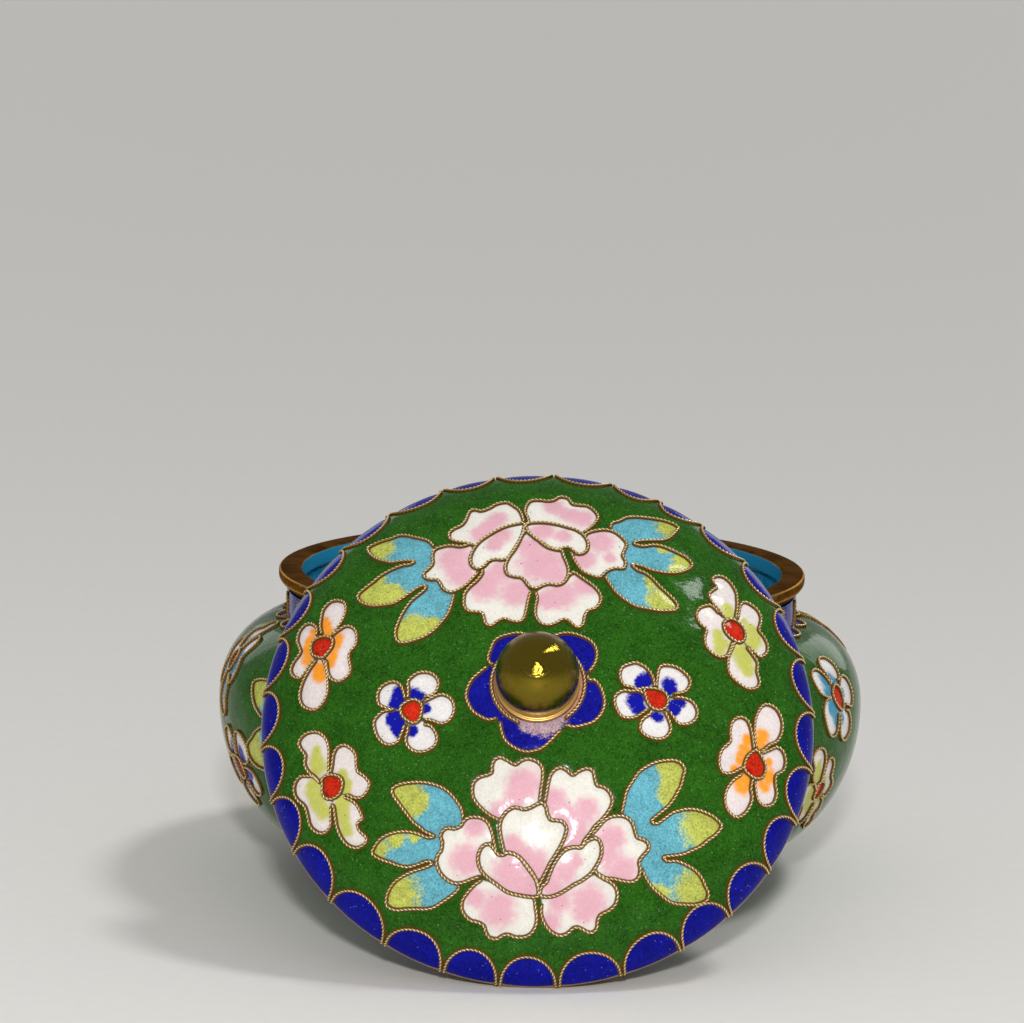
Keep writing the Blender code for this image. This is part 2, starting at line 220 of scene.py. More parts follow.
UPPER_PEONY = (
    Cell(((-2.4, 27.1), (-2.6, 28.0), (-2.8, 28.8), (-3.25, 29.8), (-4.0, 30.6), (-4.7, 31.3),
          (-5.5, 31.4), (-6.6, 31.0), (-7.4, 30.25), (-8.6, 29.7), (-9.3, 30.0), (-10.1, 30.0),
          (-10.5, 29.2), (-10.75, 28.0), (-11.3, 26.9), (-12.3, 26.3), (-13.0, 25.5), (-12.9, 24.4),
          (-12.2, 23.8), (-11.0, 23.4), (-9.9, 23.1), (-9.3, 22.65)),
         Glaze.PEONY, ((-6.2, 27.8, 1.5), (-8.5, 25.0, 1.5), (-7.5, 26.4, 1.2)), ((-5.0, 24.0),)),
    Cell(((-1.7, 26.8), (-1.9, 28.0), (-2.3, 29.2), (-2.1, 30.7), (-1.5, 31.7), (-0.3, 31.9),
          (0.9, 31.7), (1.85, 32.0), (2.4, 32.65), (3.2, 32.85), (4.0, 32.4), (4.5, 31.3),
          (5.5, 31.1), (6.75, 31.0), (7.7, 30.0), (8.2, 28.8), (7.8, 27.5), (7.0, 26.3),
          (6.1, 25.35)),
         Glaze.PEONY, ((1.8, 30.5, 1.5), (5.8, 28.3, 1.8), (3.5, 29.0, 1.3)), ((2.5, 25.0),)),
    Cell(((6.3, 24.6), (6.4, 25.0), (7.2, 25.6), (8.2, 26.0), (9.25, 26.2), (10.5, 25.9),
          (11.5, 25.0), (12.2, 23.8), (11.85, 22.5), (11.6, 21.5), (12.0, 20.5), (11.75, 19.2),
          (10.7, 19.1), (9.9, 18.8), (9.15, 18.2), (8.4, 17.3), (7.4, 17.4), (6.1, 18.0),
          (5.3, 19.0), (4.7, 20.25), (4.35, 21.3)),
         Glaze.PEONY, ((8.5, 23.8, 2.0), (6.2, 20.3, 1.7), (9.8, 20.8, 0.9)), ((4.6, 23.0),)),
    Cell(((-9.9, 23.0), (-11.2, 22.65), (-12.8, 23.0), (-14.3, 22.75), (-15.0, 22.3), (-15.2, 21.3),
          (-15.1, 19.8), (-15.75, 18.8), (-16.2, 18.4), (-16.1, 17.5), (-15.2, 17.0), (-14.3, 16.9),
          (-13.8, 16.1), (-13.25, 15.15), (-12.3, 14.6), (-11.2, 14.9), (-10.1, 15.7), (-9.3, 16.7),
          (-8.6, 17.7)),
         Glaze.PEONY, ((-12.0, 20.5, 2.4), (-11.0, 17.3, 1.8)), ((-8.4, 20.4),)),
    Cell(((-8.0, 18.2), (-8.0, 17.5), (-8.7, 16.3), (-9.7, 15.25), (-10.3, 14.2), (-10.4, 13.2),
          (-10.3, 12.1), (-9.7, 11.3), (-8.7, 11.1), (-7.8, 10.9), (-7.5, 10.0), (-7.2, 9.1),
          (-6.4, 8.8), (-5.65, 9.4), (-4.7, 9.9), (-3.7, 9.5), (-2.6, 9.4), (-2.0, 10.0),
          (-1.7, 11.3), (-1.5, 12.75), (-1.2, 14.2)),
         Glaze.PEONY, ((-7.5, 15.2, 2.2), (-3.2, 14.2, 2.2), (-5.5, 18.0, 1.8)),
         ((-3.0, 18.0), (-5.6, 21.0))),
    Cell(((-0.5, 14.2), (-0.3, 13.2), (-0.5, 11.7), (-0.4, 10.25), (0.3, 9.2), (1.4, 8.9),
          (2.4, 9.3), (3.3, 9.9), (4.0, 9.8), (4.7, 9.1), (5.4, 8.7), (6.1, 9.3), (6.3, 10.5),
          (6.75, 11.5), (7.8, 12.0), (8.5, 13.2), (8.4, 14.4), (7.6, 15.6), (6.5, 16.5),
          (5.5, 17.3), (4.7, 17.85), (4.1, 17.3)),
         Glaze.PEONY, ((6.3, 15.8, 1.8), (3.0, 13.8, 2.2), (1.0, 13.0, 1.5)), ((1.5, 16.4),)),
    Cell(((-2.1, 25.25), (-1.4, 24.6), (-0.3, 23.5), (0.9, 22.3), (2.2, 21.8), (3.0, 21.7),
          (3.3, 20.7), (3.7, 19.6), (4.0, 18.4), (3.9, 17.1), (3.4, 16.1), (2.6, 15.6), (1.3, 15.7),
          (0.4, 15.35), (-0.5, 14.9), (-1.4, 15.25), (-1.9, 16.0), (-2.5, 16.7), (-3.5, 16.9),
          (-4.4, 17.3), (-4.8, 18.4), (-4.6, 19.6), (-4.0, 21.1), (-3.25, 22.75), (-2.6, 24.4)),
         Glaze.PEONY, ((0.3, 19.2, 3.4), (-1.5, 22.5, 1.7), (2.2, 17.4, 1.2))),
    Cell(((-2.4, 26.8), (-3.7, 26.6), (-5.3, 26.0), (-7.0, 24.8), (-8.5, 23.4), (-9.3, 22.1),
          (-9.7, 20.9), (-9.7, 19.6), (-9.2, 18.7), (-8.5, 18.4), (-7.7, 18.9), (-7.2, 19.6),
          (-6.4, 20.0), (-5.3, 19.9), (-4.5, 20.25), (-3.7, 21.5), (-3.0, 23.2), (-2.6, 24.6),
          (-2.4, 25.7)),
         Glaze.PEONY, ((-5.5, 24.5, 1.5), (-6.5, 22.8, 1.2))),
    Cell(((-1.7, 26.8), (0.3, 27.0), (2.2, 26.7), (3.8, 26.2), (5.1, 25.7), (6.1, 24.8),
          (6.65, 23.6), (6.65, 22.3), (6.1, 21.4), (5.3, 21.2), (4.7, 21.7), (4.0, 22.3),
          (3.3, 22.2), (2.4, 21.9), (1.3, 22.3), (0.3, 23.1), (-0.75, 23.9), (-1.6, 25.0),
          (-2.1, 26.1)),
         Glaze.PEONY, ((0.3, 25.3, 1.7), (3.2, 24.5, 1.2))),
)

LOWER_LEAVES = (
    Cell(((-9.7, -18.7), (-9.83, -17.67), (-10.33, -16.75), (-11.1, -15.75), (-12.0, -14.9),
          (-13.0, -14.33), (-14.2, -13.9), (-15.7, -13.65), (-17.2, -13.65), (-18.5, -13.83),
          (-19.5, -14.4), (-19.3, -15.4), (-18.5, -16.5), (-17.2, -18.25), (-16.4, -19.2),
          (-15.6, -19.8), (-14.9, -20.4), (-13.6, -21.1), (-14.6, -21.2), (-15.7, -20.7),
          (-17.3, -20.3), (-18.9, -20.3), (-20.4, -20.67), (-21.5, -21.4), (-22.4, -22.8),
          (-21.8, -23.5), (-20.8, -24.0), (-19.7, -24.4), (-18.7, -24.8), (-17.3, -25.1),
          (-15.9, -24.8), (-14.5, -24.4), (-13.9, -24.7), (-14.8, -25.2), (-17.0, -25.8),
          (-19.0, -26.8), (-20.0, -27.9), (-20.5, -29.0), (-20.5, -30.2), (-19.2, -30.8),
          (-17.7, -30.75), (-16.3, -30.75), (-15.0, -30.8), (-13.8, -30.6), (-12.7, -30.0),
          (-11.7, -29.4), (-10.5, -28.5), (-10.1, -27.8)),
         Glaze.LEAF, ((-19.5, -15.0, 3.6), (-16.3, -16.4, 1.8), (-21.5, -22.6, 1.2),
                      (-19.0, -21.2, 1.3), (-16.4, -21.1, 0.8), (-20.0, -29.3, 4.3)),
         ((-9.0, -23.0),)),
    Cell(((11.7, -17.6), (12.0, -16.0), (12.3, -14.6), (12.95, -13.4), (13.9, -11.9), (15.0, -11.0),
          (16.25, -10.3), (17.7, -9.9), (18.9, -9.8), (19.8, -10.15), (20.3, -10.95), (20.1, -11.9),
          (19.8, -13.2), (19.3, -14.25), (18.75, -15.3), (17.9, -16.4), (16.8, -17.4),
          (15.8, -18.4), (16.5, -18.7), (17.5, -18.0), (18.6, -17.1), (19.6, -16.65),
          (20.9, -16.3), (22.3, -16.3), (23.6, -16.6), (24.8, -17.1), (25.8, -18.1), (25.0, -19.4),
          (23.9, -20.3), (22.9, -21.2), (21.6, -21.9), (20.4, -22.5), (19.1, -22.8), (17.7, -23.1),
          (18.2, -23.6), (19.5, -23.5), (20.7, -23.8), (22.1, -24.4), (23.2, -25.3), (23.9, -26.4),
          (24.55, -27.5), (24.3, -28.5), (23.0, -29.1), (21.4, -29.25), (19.8, -29.25),
          (18.6, -28.9), (17.5, -28.2), (16.4, -27.4), (15.7, -26.6), (15.2, -25.9), (14.8, -25.1)),
         Glaze.LEAF, ((20.2, -11.8, 3.0), (18.6, -14.6, 1.9), (17.8, -10.2, 1.6),
                      (24.3, -18.2, 4.2), (23.4, -27.8, 3.9), (17.0, -28.4, 1.6)),
         ((11.0, -22.0),)),
)

UPPER_LEAVES = (
    Cell(((-15.1, 23.1), (-15.9, 24.2), (-17.0, 24.9), (-18.1, 25.4), (-19.1, 25.95), (-20.4, 26.3),
          (-21.6, 25.95), (-22.9, 25.8), (-24.1, 25.5), (-25.1, 25.0), (-24.95, 24.0),
          (-24.1, 22.8), (-23.1, 21.9), (-22.0, 21.3), (-21.1, 20.95), (-19.9, 20.95),
          (-18.6, 20.85), (-17.8, 20.5), (-18.4, 20.1), (-19.3, 20.1), (-20.4, 19.8),
          (-21.6, 19.25), (-22.7, 18.6), (-23.8, 17.6), (-24.9, 16.75), (-25.7, 15.9),
          (-25.6, 15.0), (-24.7, 14.1), (-23.25, 13.5), (-21.8, 13.4), (-20.4, 13.45),
          (-19.3, 14.0), (-18.1, 14.9), (-17.0, 15.7), (-16.0, 16.0), (-15.9, 15.4),
          (-16.8, 14.5), (-17.7, 13.7), (-18.4, 12.65), (-19.05, 11.4), (-19.5, 10.1),
          (-19.8, 8.9), (-19.7, 7.8), (-19.3, 7.1), (-18.4, 6.85), (-17.0, 7.1), (-15.6, 7.6),
          (-14.3, 8.5), (-13.25, 9.8), (-12.5, 11.0), (-12.1, 12.3), (-11.8, 13.9)),
         Glaze.LEAF, ((-24.0, 24.2, 3.0), (-24.0, 15.6, 3.0), (-20.5, 14.6, 2.0), (-23.0, 18.4, 1.0),
                      (-17.6, 8.4, 2.9), (-14.6, 9.6, 1.0)),
         ((-12.0, 19.0),)),
    Cell(((9.9, 26.6), (10.2, 27.7), (11.2, 28.3), (12.2, 29.2), (13.2, 29.6), (14.2, 29.8),
          (15.3, 29.9), (16.7, 30.0), (18.0, 30.0), (19.2, 29.75), (20.1, 29.1), (19.75, 28.2),
          (19.2, 27.2), (18.5, 26.2), (17.5, 25.5), (16.3, 25.2), (15.0, 24.9), (14.0, 24.6),
          (13.2, 24.0), (14.5, 23.7), (16.0, 24.2), (17.3, 24.25), (18.7, 23.8), (20.0, 23.25),
          (21.0, 22.7), (21.7, 21.7), (21.3, 20.8), (20.3, 20.0), (19.2, 19.5), (17.7, 19.25),
          (16.3, 19.3), (15.3, 19.5), (14.3, 19.9), (12.9, 20.0), (13.7, 19.1), (14.7, 18.75),
          (15.7, 18.0), (16.7, 16.8), (17.7, 15.8), (18.7, 14.8), (19.3, 13.8), (19.0, 13.0),
          (18.0, 12.7), (16.7, 12.5), (15.3, 12.6), (14.2, 12.7), (13.2, 12.9), (12.2, 13.5),
          (11.3, 14.2), (10.5, 15.0), (9.75, 16.2), (9.1, 17.4)),
         Glaze.LEAF, ((18.9, 28.4, 2.2), (20.6, 21.9, 1.8), (17.5, 23.9, 1.0), (17.6, 14.4, 2.6),
                      (15.6, 17.4, 1.0), (19.0, 20.2, 0.8)),
         ((9.0, 21.5),)),
)

SMALL_FLOWERS = (
    Flower((-17.0, -3.6),
           ((-18.6, -2.9), (-17.8, -2.2), (-16.9, -1.9), (-16.1, -2.2), (-15.6, -3.0), (-15.7, -4.0),
            (-16.0, -5.0), (-16.8, -5.3), (-17.7, -4.8), (-18.4, -4.0)),
           (((-19.55, -3.15), (-20.5, -2.9), (-21.6, -2.3), (-21.9, -1.55), (-21.9, -0.5),
             (-21.4, 0.4), (-20.5, 0.9), (-19.7, 1.0), (-18.9, 0.6), (-18.4, -0.2), (-18.0, -1.6)),
            ((-17.6, -1.55), (-17.6, -0.3), (-17.7, 0.75), (-17.3, 1.4), (-16.4, 2.0), (-15.4, 2.1),
             (-14.4, 1.8), (-13.7, 1.1), (-13.4, 0.25), (-13.65, -0.8), (-14.4, -1.5),
             (-15.25, -1.55)),
            ((-15.25, -2.25), (-14.4, -1.85), (-13.65, -1.5), (-12.75, -1.4), (-11.8, -1.9),
             (-11.3, -2.7), (-11.15, -3.6), (-11.4, -4.6), (-12.05, -5.4), (-13.0, -5.6),
             (-14.0, -5.2), (-15.0, -4.9)),
            ((-15.1, -5.6), (-14.3, -5.9), (-13.65, -6.8), (-13.4, -7.7), (-13.7, -8.7),
             (-14.6, -9.3), (-15.5, -9.5), (-16.6, -9.3), (-17.5, -8.5), (-17.75, -7.5),
             (-17.5, -6.4), (-17.5, -5.8)),
            ((-18.0, -5.6), (-18.2, -6.35), (-18.5, -7.1), (-18.9, -7.9), (-20.0, -8.2),
             (-21.0, -7.8), (-21.8, -6.8), (-22.2, -5.7), (-22.3, -4.75), (-21.9, -4.0),
             (-21.2, -3.4), (-20.4, -3.2), (-19.8, -3.2))),
           Glaze.BLUE_FLOWER,
           ((-18.8, -0.7, 1.1), (-19.1, -2.3, 1.3), (-16.9, -1.0, 1.0), (-15.8, -1.5, 0.7),
            (-15.1, -3.3, 0.8), (-16.9, -6.4, 0.9), (-19.0, -4.7, 1.4), (-18.7, -6.2, 1.1),
            (-19.9, -4.4, 0.8))),
    Flower((16.3, -1.3),
           ((14.55, 0.05), (15.5, 0.25), (16.65, 0.15), (17.5, -0.3), (17.8, -1.2), (17.6, -2.2),
            (16.8, -2.8), (15.8, -2.7), (15.1, -2.05), (14.7, -0.95)),
           (((15.95, 0.6), (15.8, 1.55), (15.45, 2.45), (14.75, 3.3), (14.0, 3.7), (13.3, 3.9),
             (12.2, 3.5), (11.45, 3.0), (11.15, 2.0), (11.3, 1.05), (11.85, 0.3), (12.75, 0.15),
             (13.7, -0.1), (14.4, 0.15)),
            ((16.2, 0.6), (16.3, 1.8), (16.45, 3.0), (16.9, 3.8), (17.9, 4.0), (19.0, 3.85),
             (20.0, 3.3), (20.8, 2.45), (20.95, 1.55), (20.4, 0.45), (19.4, -0.05), (18.7, -0.2)),
            ((18.8, -0.75), (19.7, -0.65), (20.95, -0.9), (21.65, -1.55), (22.0, -2.55),
             (21.7, -3.6), (20.95, -4.3), (20.0, -4.55), (19.3, -4.5), (18.6, -3.7), (18.1, -3.0)),
            ((17.4, -3.0), (17.9, -4.0), (18.25, -5.1), (18.1, -5.95), (17.5, -6.7), (16.5, -7.05),
             (15.4, -6.9), (14.5, -6.5), (14.0, -5.8), (14.1, -4.85), (14.55, -4.15),
             (15.4, -3.45), (15.45, -3.05)),
            ((14.85, -3.0), (14.15, -3.6), (13.3, -4.2), (12.3, -4.4), (11.35, -4.15),
             (10.75, -3.2), (10.45, -2.2), (10.65, -1.15), (11.65, -0.45), (12.75, -0.45),
             (13.6, -0.3), (14.4, -0.6))),
           Glaze.BLUE_FLOWER,
           ((14.7, 1.3, 1.2), (15.3, 2.1, 0.8), (14.0, 0.9, 0.8), (17.9, 1.1, 1.1), (18.3, 0.0, 0.9),
            (18.8, -1.8, 1.0), (19.7, -1.5, 0.7), (18.6, -2.8, 0.8), (16.4, -3.8, 0.9),
            (13.3, -1.8, 1.3), (13.7, -0.7, 1.0), (13.9, -3.1, 1.0))),
    Flower((-30.7, 8.0),
           ((-32.4, 8.0), (-32.25, 9.2), (-31.3, 9.7), (-30.3, 9.7), (-29.4, 9.25), (-29.0, 8.7),
            (-29.1, 7.7), (-29.7, 6.8), (-30.4, 6.2), (-31.2, 6.5), (-32.0, 7.0)),
           (((-30.9, 10.3), (-31.25, 11.7), (-31.25, 13.2), (-31.1, 14.5), (-30.3, 15.5),
             (-29.4, 15.75), (-28.3, 15.4), (-27.6, 14.7), (-27.4, 13.3), (-27.8, 11.8),
             (-28.5, 10.7), (-29.1, 9.9)),
            ((-29.1, 9.65), (-28.2, 10.3), (-27.0, 10.75), (-25.8, 10.0), (-25.4, 8.7),
             (-25.5, 7.3), (-26.3, 6.3), (-26.3, 5.2), (-26.0, 3.8), (-26.3, 2.7), (-27.5, 2.0),
             (-28.5, 2.25), (-29.2, 3.0), (-29.6, 4.3), (-29.8, 5.5)),
            ((-30.3, 5.8), (-29.8, 4.7), (-29.5, 3.2), (-29.3, 1.5), (-29.4, 0.2), (-30.0, -1.0),
             (-31.0, -1.75), (-32.2, -1.5), (-33.25, -0.7), (-33.75, 0.7), (-33.6, 2.2),
             (-33.0, 3.7), (-32.2, 5.0), (-31.5, 5.9)),
            ((-31.8, 6.2), (-32.5, 5.3), (-33.2, 4.3), (-33.9, 3.7), (-35.0, 4.2), (-35.6, 5.3),
             (-35.3, 6.5), (-34.2, 7.9), (-34.5, 9.0), (-35.0, 10.3), (-34.8, 11.8),
             (-33.8, 12.75), (-32.7, 12.5), (-31.8, 11.5), (-31.7, 10.3))),
           Glaze.ORANGE_FLOWER,
           ((-30.7, 12.6, 0.7), (-30.4, 11.5, 1.0), (-29.8, 10.4, 0.8), (-28.2, 9.1, 0.9),
            (-28.5, 7.8, 0.9), (-29.0, 6.2, 0.9), (-29.3, 5.0, 0.8), (-30.9, 4.4, 1.3),
            (-30.7, 3.3, 1.0), (-32.3, 11.1, 0.8), (-32.8, 9.6, 0.9), (-33.1, 8.1, 1.1),
            (-32.8, 6.4, 1.0))),
    Flower((-28.4, -13.3),
           ((-29.75, -13.0), (-29.75, -12.0), (-28.9, -11.6), (-27.8, -11.75), (-26.9, -12.3),
            (-26.7, -13.3), (-27.2, -14.5), (-28.3, -15.0), (-29.3, -14.75), (-29.75, -14.0)),
           (((-28.8, -11.5), (-28.8, -10.0), (-28.8, -8.0), (-29.2, -6.5), (-30.2, -5.4),
             (-31.5, -5.0), (-32.8, -5.25), (-33.6, -6.2), (-33.25, -7.2), (-32.5, -8.3),
             (-32.6, -9.5), (-32.0, -10.7), (-31.0, -11.6), (-30.2, -12.5)),
            ((-28.5, -11.3), (-28.25, -10.0), (-28.1, -8.8), (-27.5, -7.8), (-26.5, -7.6),
             (-25.5, -8.2), (-24.8, -9.2), (-24.7, -10.5), (-24.5, -11.5), (-23.5, -12.3),
             (-22.75, -13.3), (-23.0, -14.3), (-23.8, -15.2), (-24.8, -15.25), (-26.0, -14.7)),
            ((-26.3, -15.0), (-25.3, -15.5), (-24.5, -16.3), (-24.0, -17.3), (-23.75, -18.2),
             (-24.5, -18.8), (-24.2, -19.75), (-23.25, -20.7), (-23.3, -21.5), (-24.5, -22.1),
             (-25.8, -21.75), (-26.8, -20.75), (-27.5, -19.3), (-27.8, -17.8), (-28.0, -16.3),
             (-28.2, -15.9)),
            ((-28.5, -16.2), (-28.5, -17.7), (-28.6, -18.8), (-29.5, -19.6), (-30.8, -19.4),
             (-31.9, -18.3), (-32.25, -16.8), (-32.7, -15.5), (-33.8, -14.5), (-34.4, -13.3),
             (-34.2, -12.0), (-33.3, -11.2), (-32.2, -11.3), (-31.2, -11.5), (-30.3, -12.3))),
           Glaze.LIME_FLOWER,
           ((-30.8, -7.8, 0.7), (-30.9, -9.0, 1.0), (-30.5, -10.3, 1.3), (-26.8, -11.7, 0.8),
            (-26.1, -13.2, 0.8), (-26.2, -14.2, 0.7), (-26.7, -15.5, 1.3), (-26.8, -16.8, 1.1),
            (-26.6, -18.2, 1.0), (-26.2, -19.6, 1.0), (-31.2, -12.5, 1.0), (-31.4, -13.6, 1.2),
            (-30.6, -15.0, 1.4), (-29.6, -16.6, 1.2))),
    Flower((27.6, 11.4),
           ((26.0, 12.0), (26.7, 12.9), (27.8, 13.0), (28.8, 12.3), (29.25, 11.2), (29.0, 10.0),
            (28.2, 9.4), (27.2, 9.7), (26.2, 10.7)),
           (((26.0, 13.3), (25.3, 14.3), (24.3, 15.5), (24.0, 16.7), (24.7, 17.7), (25.2, 18.3),
             (24.6, 19.5), (25.3, 20.4), (26.5, 20.5), (27.5, 19.7), (28.2, 18.3), (28.3, 16.8),
             (28.2, 15.3), (28.0, 14.2), (27.9, 13.3)),
            ((28.2, 13.5), (28.5, 14.8), (28.7, 15.8), (29.3, 16.7), (30.3, 16.7), (31.5, 16.0),
             (32.0, 14.8), (31.8, 13.5), (31.5, 12.3), (32.3, 11.3), (32.8, 10.0), (32.5, 8.7),
             (31.5, 7.8), (30.7, 8.2), (29.7, 9.0)),
            ((29.5, 8.8), (30.3, 7.8), (31.0, 6.7), (30.9, 5.2), (31.25, 3.8), (30.8, 2.7),
             (29.5, 2.25), (28.2, 2.7), (26.8, 3.8), (26.4, 5.3), (26.6, 6.8), (27.2, 8.3),
             (27.5, 9.2)),
            ((27.2, 9.0), (26.8, 7.8), (26.3, 6.8), (25.3, 6.4), (24.2, 6.8), (23.3, 7.8),
             (23.1, 9.2), (23.4, 10.5), (22.5, 11.3), (22.0, 12.5), (22.3, 13.7), (23.3, 14.5),
             (24.3, 14.7), (25.3, 13.7))),
           Glaze.LIME_FLOWER,
           ((26.7, 14.8, 1.0), (27.1, 13.6, 0.8), (29.2, 13.3, 0.6), (30.4, 12.2, 1.0),
            (30.7, 10.8, 1.4), (30.2, 9.4, 1.0), (28.6, 7.8, 1.6), (29.1, 6.2, 1.4), (29.5, 5.0, 0.9),
            (25.0, 10.2, 0.8), (25.6, 8.8, 1.2), (25.2, 7.6, 0.8))),
    Flower((30.7, -8.9),
           ((30.7, -6.7), (31.5, -7.5), (32.2, -8.8), (31.8, -10.3), (30.7, -10.75), (29.7, -10.4),
            (28.9, -9.7), (29.1, -8.3), (29.8, -7.3)),
           (((30.7, -6.3), (30.4, -4.7), (30.4, -2.8), (30.8, -1.2), (31.7, 0.2), (32.8, 0.5),
             (34.0, 0.0), (34.8, -1.5), (34.75, -3.2), (34.0, -4.7), (32.8, -5.5), (32.0, -6.3),
             (31.3, -6.8)),
            ((31.5, -7.0), (32.7, -6.3), (34.0, -5.6), (35.0, -6.0), (35.5, -7.3), (35.2, -8.7),
             (34.0, -9.7), (33.9, -11.0), (34.2, -12.3), (33.7, -13.8), (32.3, -14.4),
             (31.2, -13.8), (30.75, -12.5), (30.6, -11.3)),
            ((30.2, -11.0), (30.0, -12.3), (30.25, -13.7), (29.75, -15.2), (28.8, -16.3),
             (27.7, -16.6), (26.5, -15.7), (26.1, -14.3), (26.4, -12.8), (27.3, -11.5),
             (28.5, -10.5)),
            ((28.8, -9.5), (28.0, -10.0), (27.0, -10.6), (25.8, -10.7), (25.2, -9.8), (25.2, -8.3),
             (25.7, -7.2), (26.75, -6.0), (26.7, -4.7), (27.0, -3.2), (28.0, -2.3), (29.2, -2.5),
             (29.8, -3.7), (30.1, -5.2), (30.3, -6.5))),
           Glaze.ORANGE_FLOWER,
           ((29.4, -5.3, 0.8), (29.0, -6.9, 1.1), (28.4, -8.4, 0.9), (27.5, -9.9, 0.7),
            (31.6, -4.4, 1.1), (31.3, -5.9, 1.1), (32.8, -8.0, 0.6), (32.9, -10.0, 1.1),
            (32.1, -11.5, 1.0), (28.7, -12.0, 1.4), (29.3, -10.9, 1.0))),
)

MEDALLION_LOBES = (
    ((-1.2, 6.9), (-2.0, 7.5), (-3.0, 7.6), (-4.0, 7.4), (-5.2, 7.0), (-6.0, 6.3), (-6.4, 5.2),
     (-6.75, 4.0), (-6.6, 3.2), (-6.1, 2.75)),
    ((-7.0, 2.4), (-7.8, 1.7), (-8.8, 0.7), (-9.4, -0.5), (-9.6, -1.7), (-9.3, -2.8), (-8.6, -4.0),
     (-7.5, -4.8), (-6.5, -5.25), (-5.5, -5.1)),
    ((-4.9, -5.7), (-4.7, -6.8), (-4.25, -8.0), (-3.5, -8.8), (-2.3, -9.5), (-1.2, -9.75),
     (-0.2, -9.6), (0.8, -9.2), (1.7, -8.4), (2.5, -7.5), (3.2, -6.7)),
    ((3.9, -5.9), (5.0, -6.1), (6.3, -5.8), (7.7, -5.2), (8.7, -4.0), (9.1, -2.7), (9.0, -1.5),
     (8.6, -0.3), (7.8, 0.75), (7.0, 0.8), (6.75, 1.3)),
    ((7.0, 2.0), (7.7, 3.2), (8.0, 4.5), (7.8, 5.8), (7.0, 6.8), (5.8, 7.4), (4.5, 7.75),
     (3.3, 7.7), (2.3, 7.3), (1.4, 6.9)),
)

# The ring of wire round the washer, open at the bottom where pale enamel spilled over the lobe
MEDALLION = (0.1, 0.1)
RING_RADIUS = 6.3
RING_OPEN = (-52.0, 246.0)
RING_STEPS = 16
RING_COVERED_STEPS = 6
SPILL = ((-1.0, -5.3, 1.5), (0.6, -5.5, 1.9), (2.2, -5.2, 1.8))

# The lid's scallops, whose middles are given one by one, and the jar's even arches
SCALLOP_TURNS = (9.4, 21.2, 34.4, 47.2, 59.3, 68.5, 80.8, 94.2, 106.0, 117.7, 131.6, 143.4, 155.5,
                 168.0, 181.0, 193.0, 204.8, 217.0, 231.0, 245.7, 257.4, 268.9, 281.3, 295.5, 307.5,
                 320.0, 332.6, 344.2, 356.4)
SCALLOP_STEPS = 12
SCALLOP_DEPTH = 5.1
SCALLOP_FOOT = 0.35
SCALLOP_GAP = 0.4
SCALLOP_BEYOND = 1.05
ARCH_POWER = 0.75
ARCH_COUNT = 29
ARCH_GAP = 0.25
ARCH_BEYOND = 0.2
NECK_ARCHES_BELOW_TOP = 0.4
NECK_ARCHES_DEPTH = 5.6
NECK_ARCHES_TURN = 62.05
FOOT_ARCHES_HEIGHT = 0.3
FOOT_ARCHES_DEPTH = -4.8

# The jar's pattern: peonies at turns in degrees from the front, and flowers, each with its place
# in SMALL_FLOWERS, its glaze, turn, height up the wall and scale. The flowers come twice, half a
# turn apart.
PEONY_MIDDLE = (-1.5, 20.0)
PEONY_HEIGHT = 32.0
PEONY_SCALE = 1.05
PEONY_TURNS = (-31.0, 149.0)
JAR_FLOWERS = (
    (0, Glaze.SKY_FLOWER, 66.3, 35.6, 1.12),
    (3, Glaze.LIME_FLOWER, 60.5, 22.5, 0.85),
    (1, Glaze.BLUE_FLOWER, 30.0, 40.0, 1.0),
    (2, Glaze.ORANGE_FLOWER, 24.0, 22.5, 0.85),
    (4, Glaze.SKY_FLOWER, 103.0, 38.4, 0.92),
    (1, Glaze.BLUE_FLOWER, 112.5, 23.3, 1.1),
)


@dataclass(frozen=True)
class Drawing:
    """A drawing's place on a wall: where its own middle lies, and how large it is laid."""

    cells: tuple[Cell, ...]
    middle: Point = (0.0, 0.0)
    scale: float = 1.0
    turn: float = 0.0
    height: float = 0.0


def ellipse(centre: Point, size: Point, start: float, end: float, steps: int) -> list[Point]:
    """Return points along an arc of an ellipse, angles in degrees from the outward direction."""
    angles = np.radians(np.linspace(start, end, steps + 1))
    return list(zip(centre[0] + size[0] * np.cos(angles), centre[1] + size[1] * np.sin(angles)))


def squared_ellipse(centre: Point, size: Point, power: float, last: float,
                    steps: int) -> np.ndarray:
    """Return points along a squared ellipse, from a last radius out to its widest point.

    Args:
        centre: Radius and height of its centre.
        size: Its half width and half height.
        power: Two for a true ellipse, more for a fuller one.
        last: The radius at which the line starts.
        steps: Pieces of the line.

    Returns:
        Radius and height of each point.
    """
    share = max(0.0, last - centre[0]) / size[0]
    angle = np.linspace(math.acos(share ** (power / 2)), 0.0, steps + 1)
    across = centre[0] + size[0] * np.cos(angle) ** (2 / power)
    up = centre[1] + size[1] * np.sin(angle) ** (2 / power)
    return np.stack((across, up), axis=1)


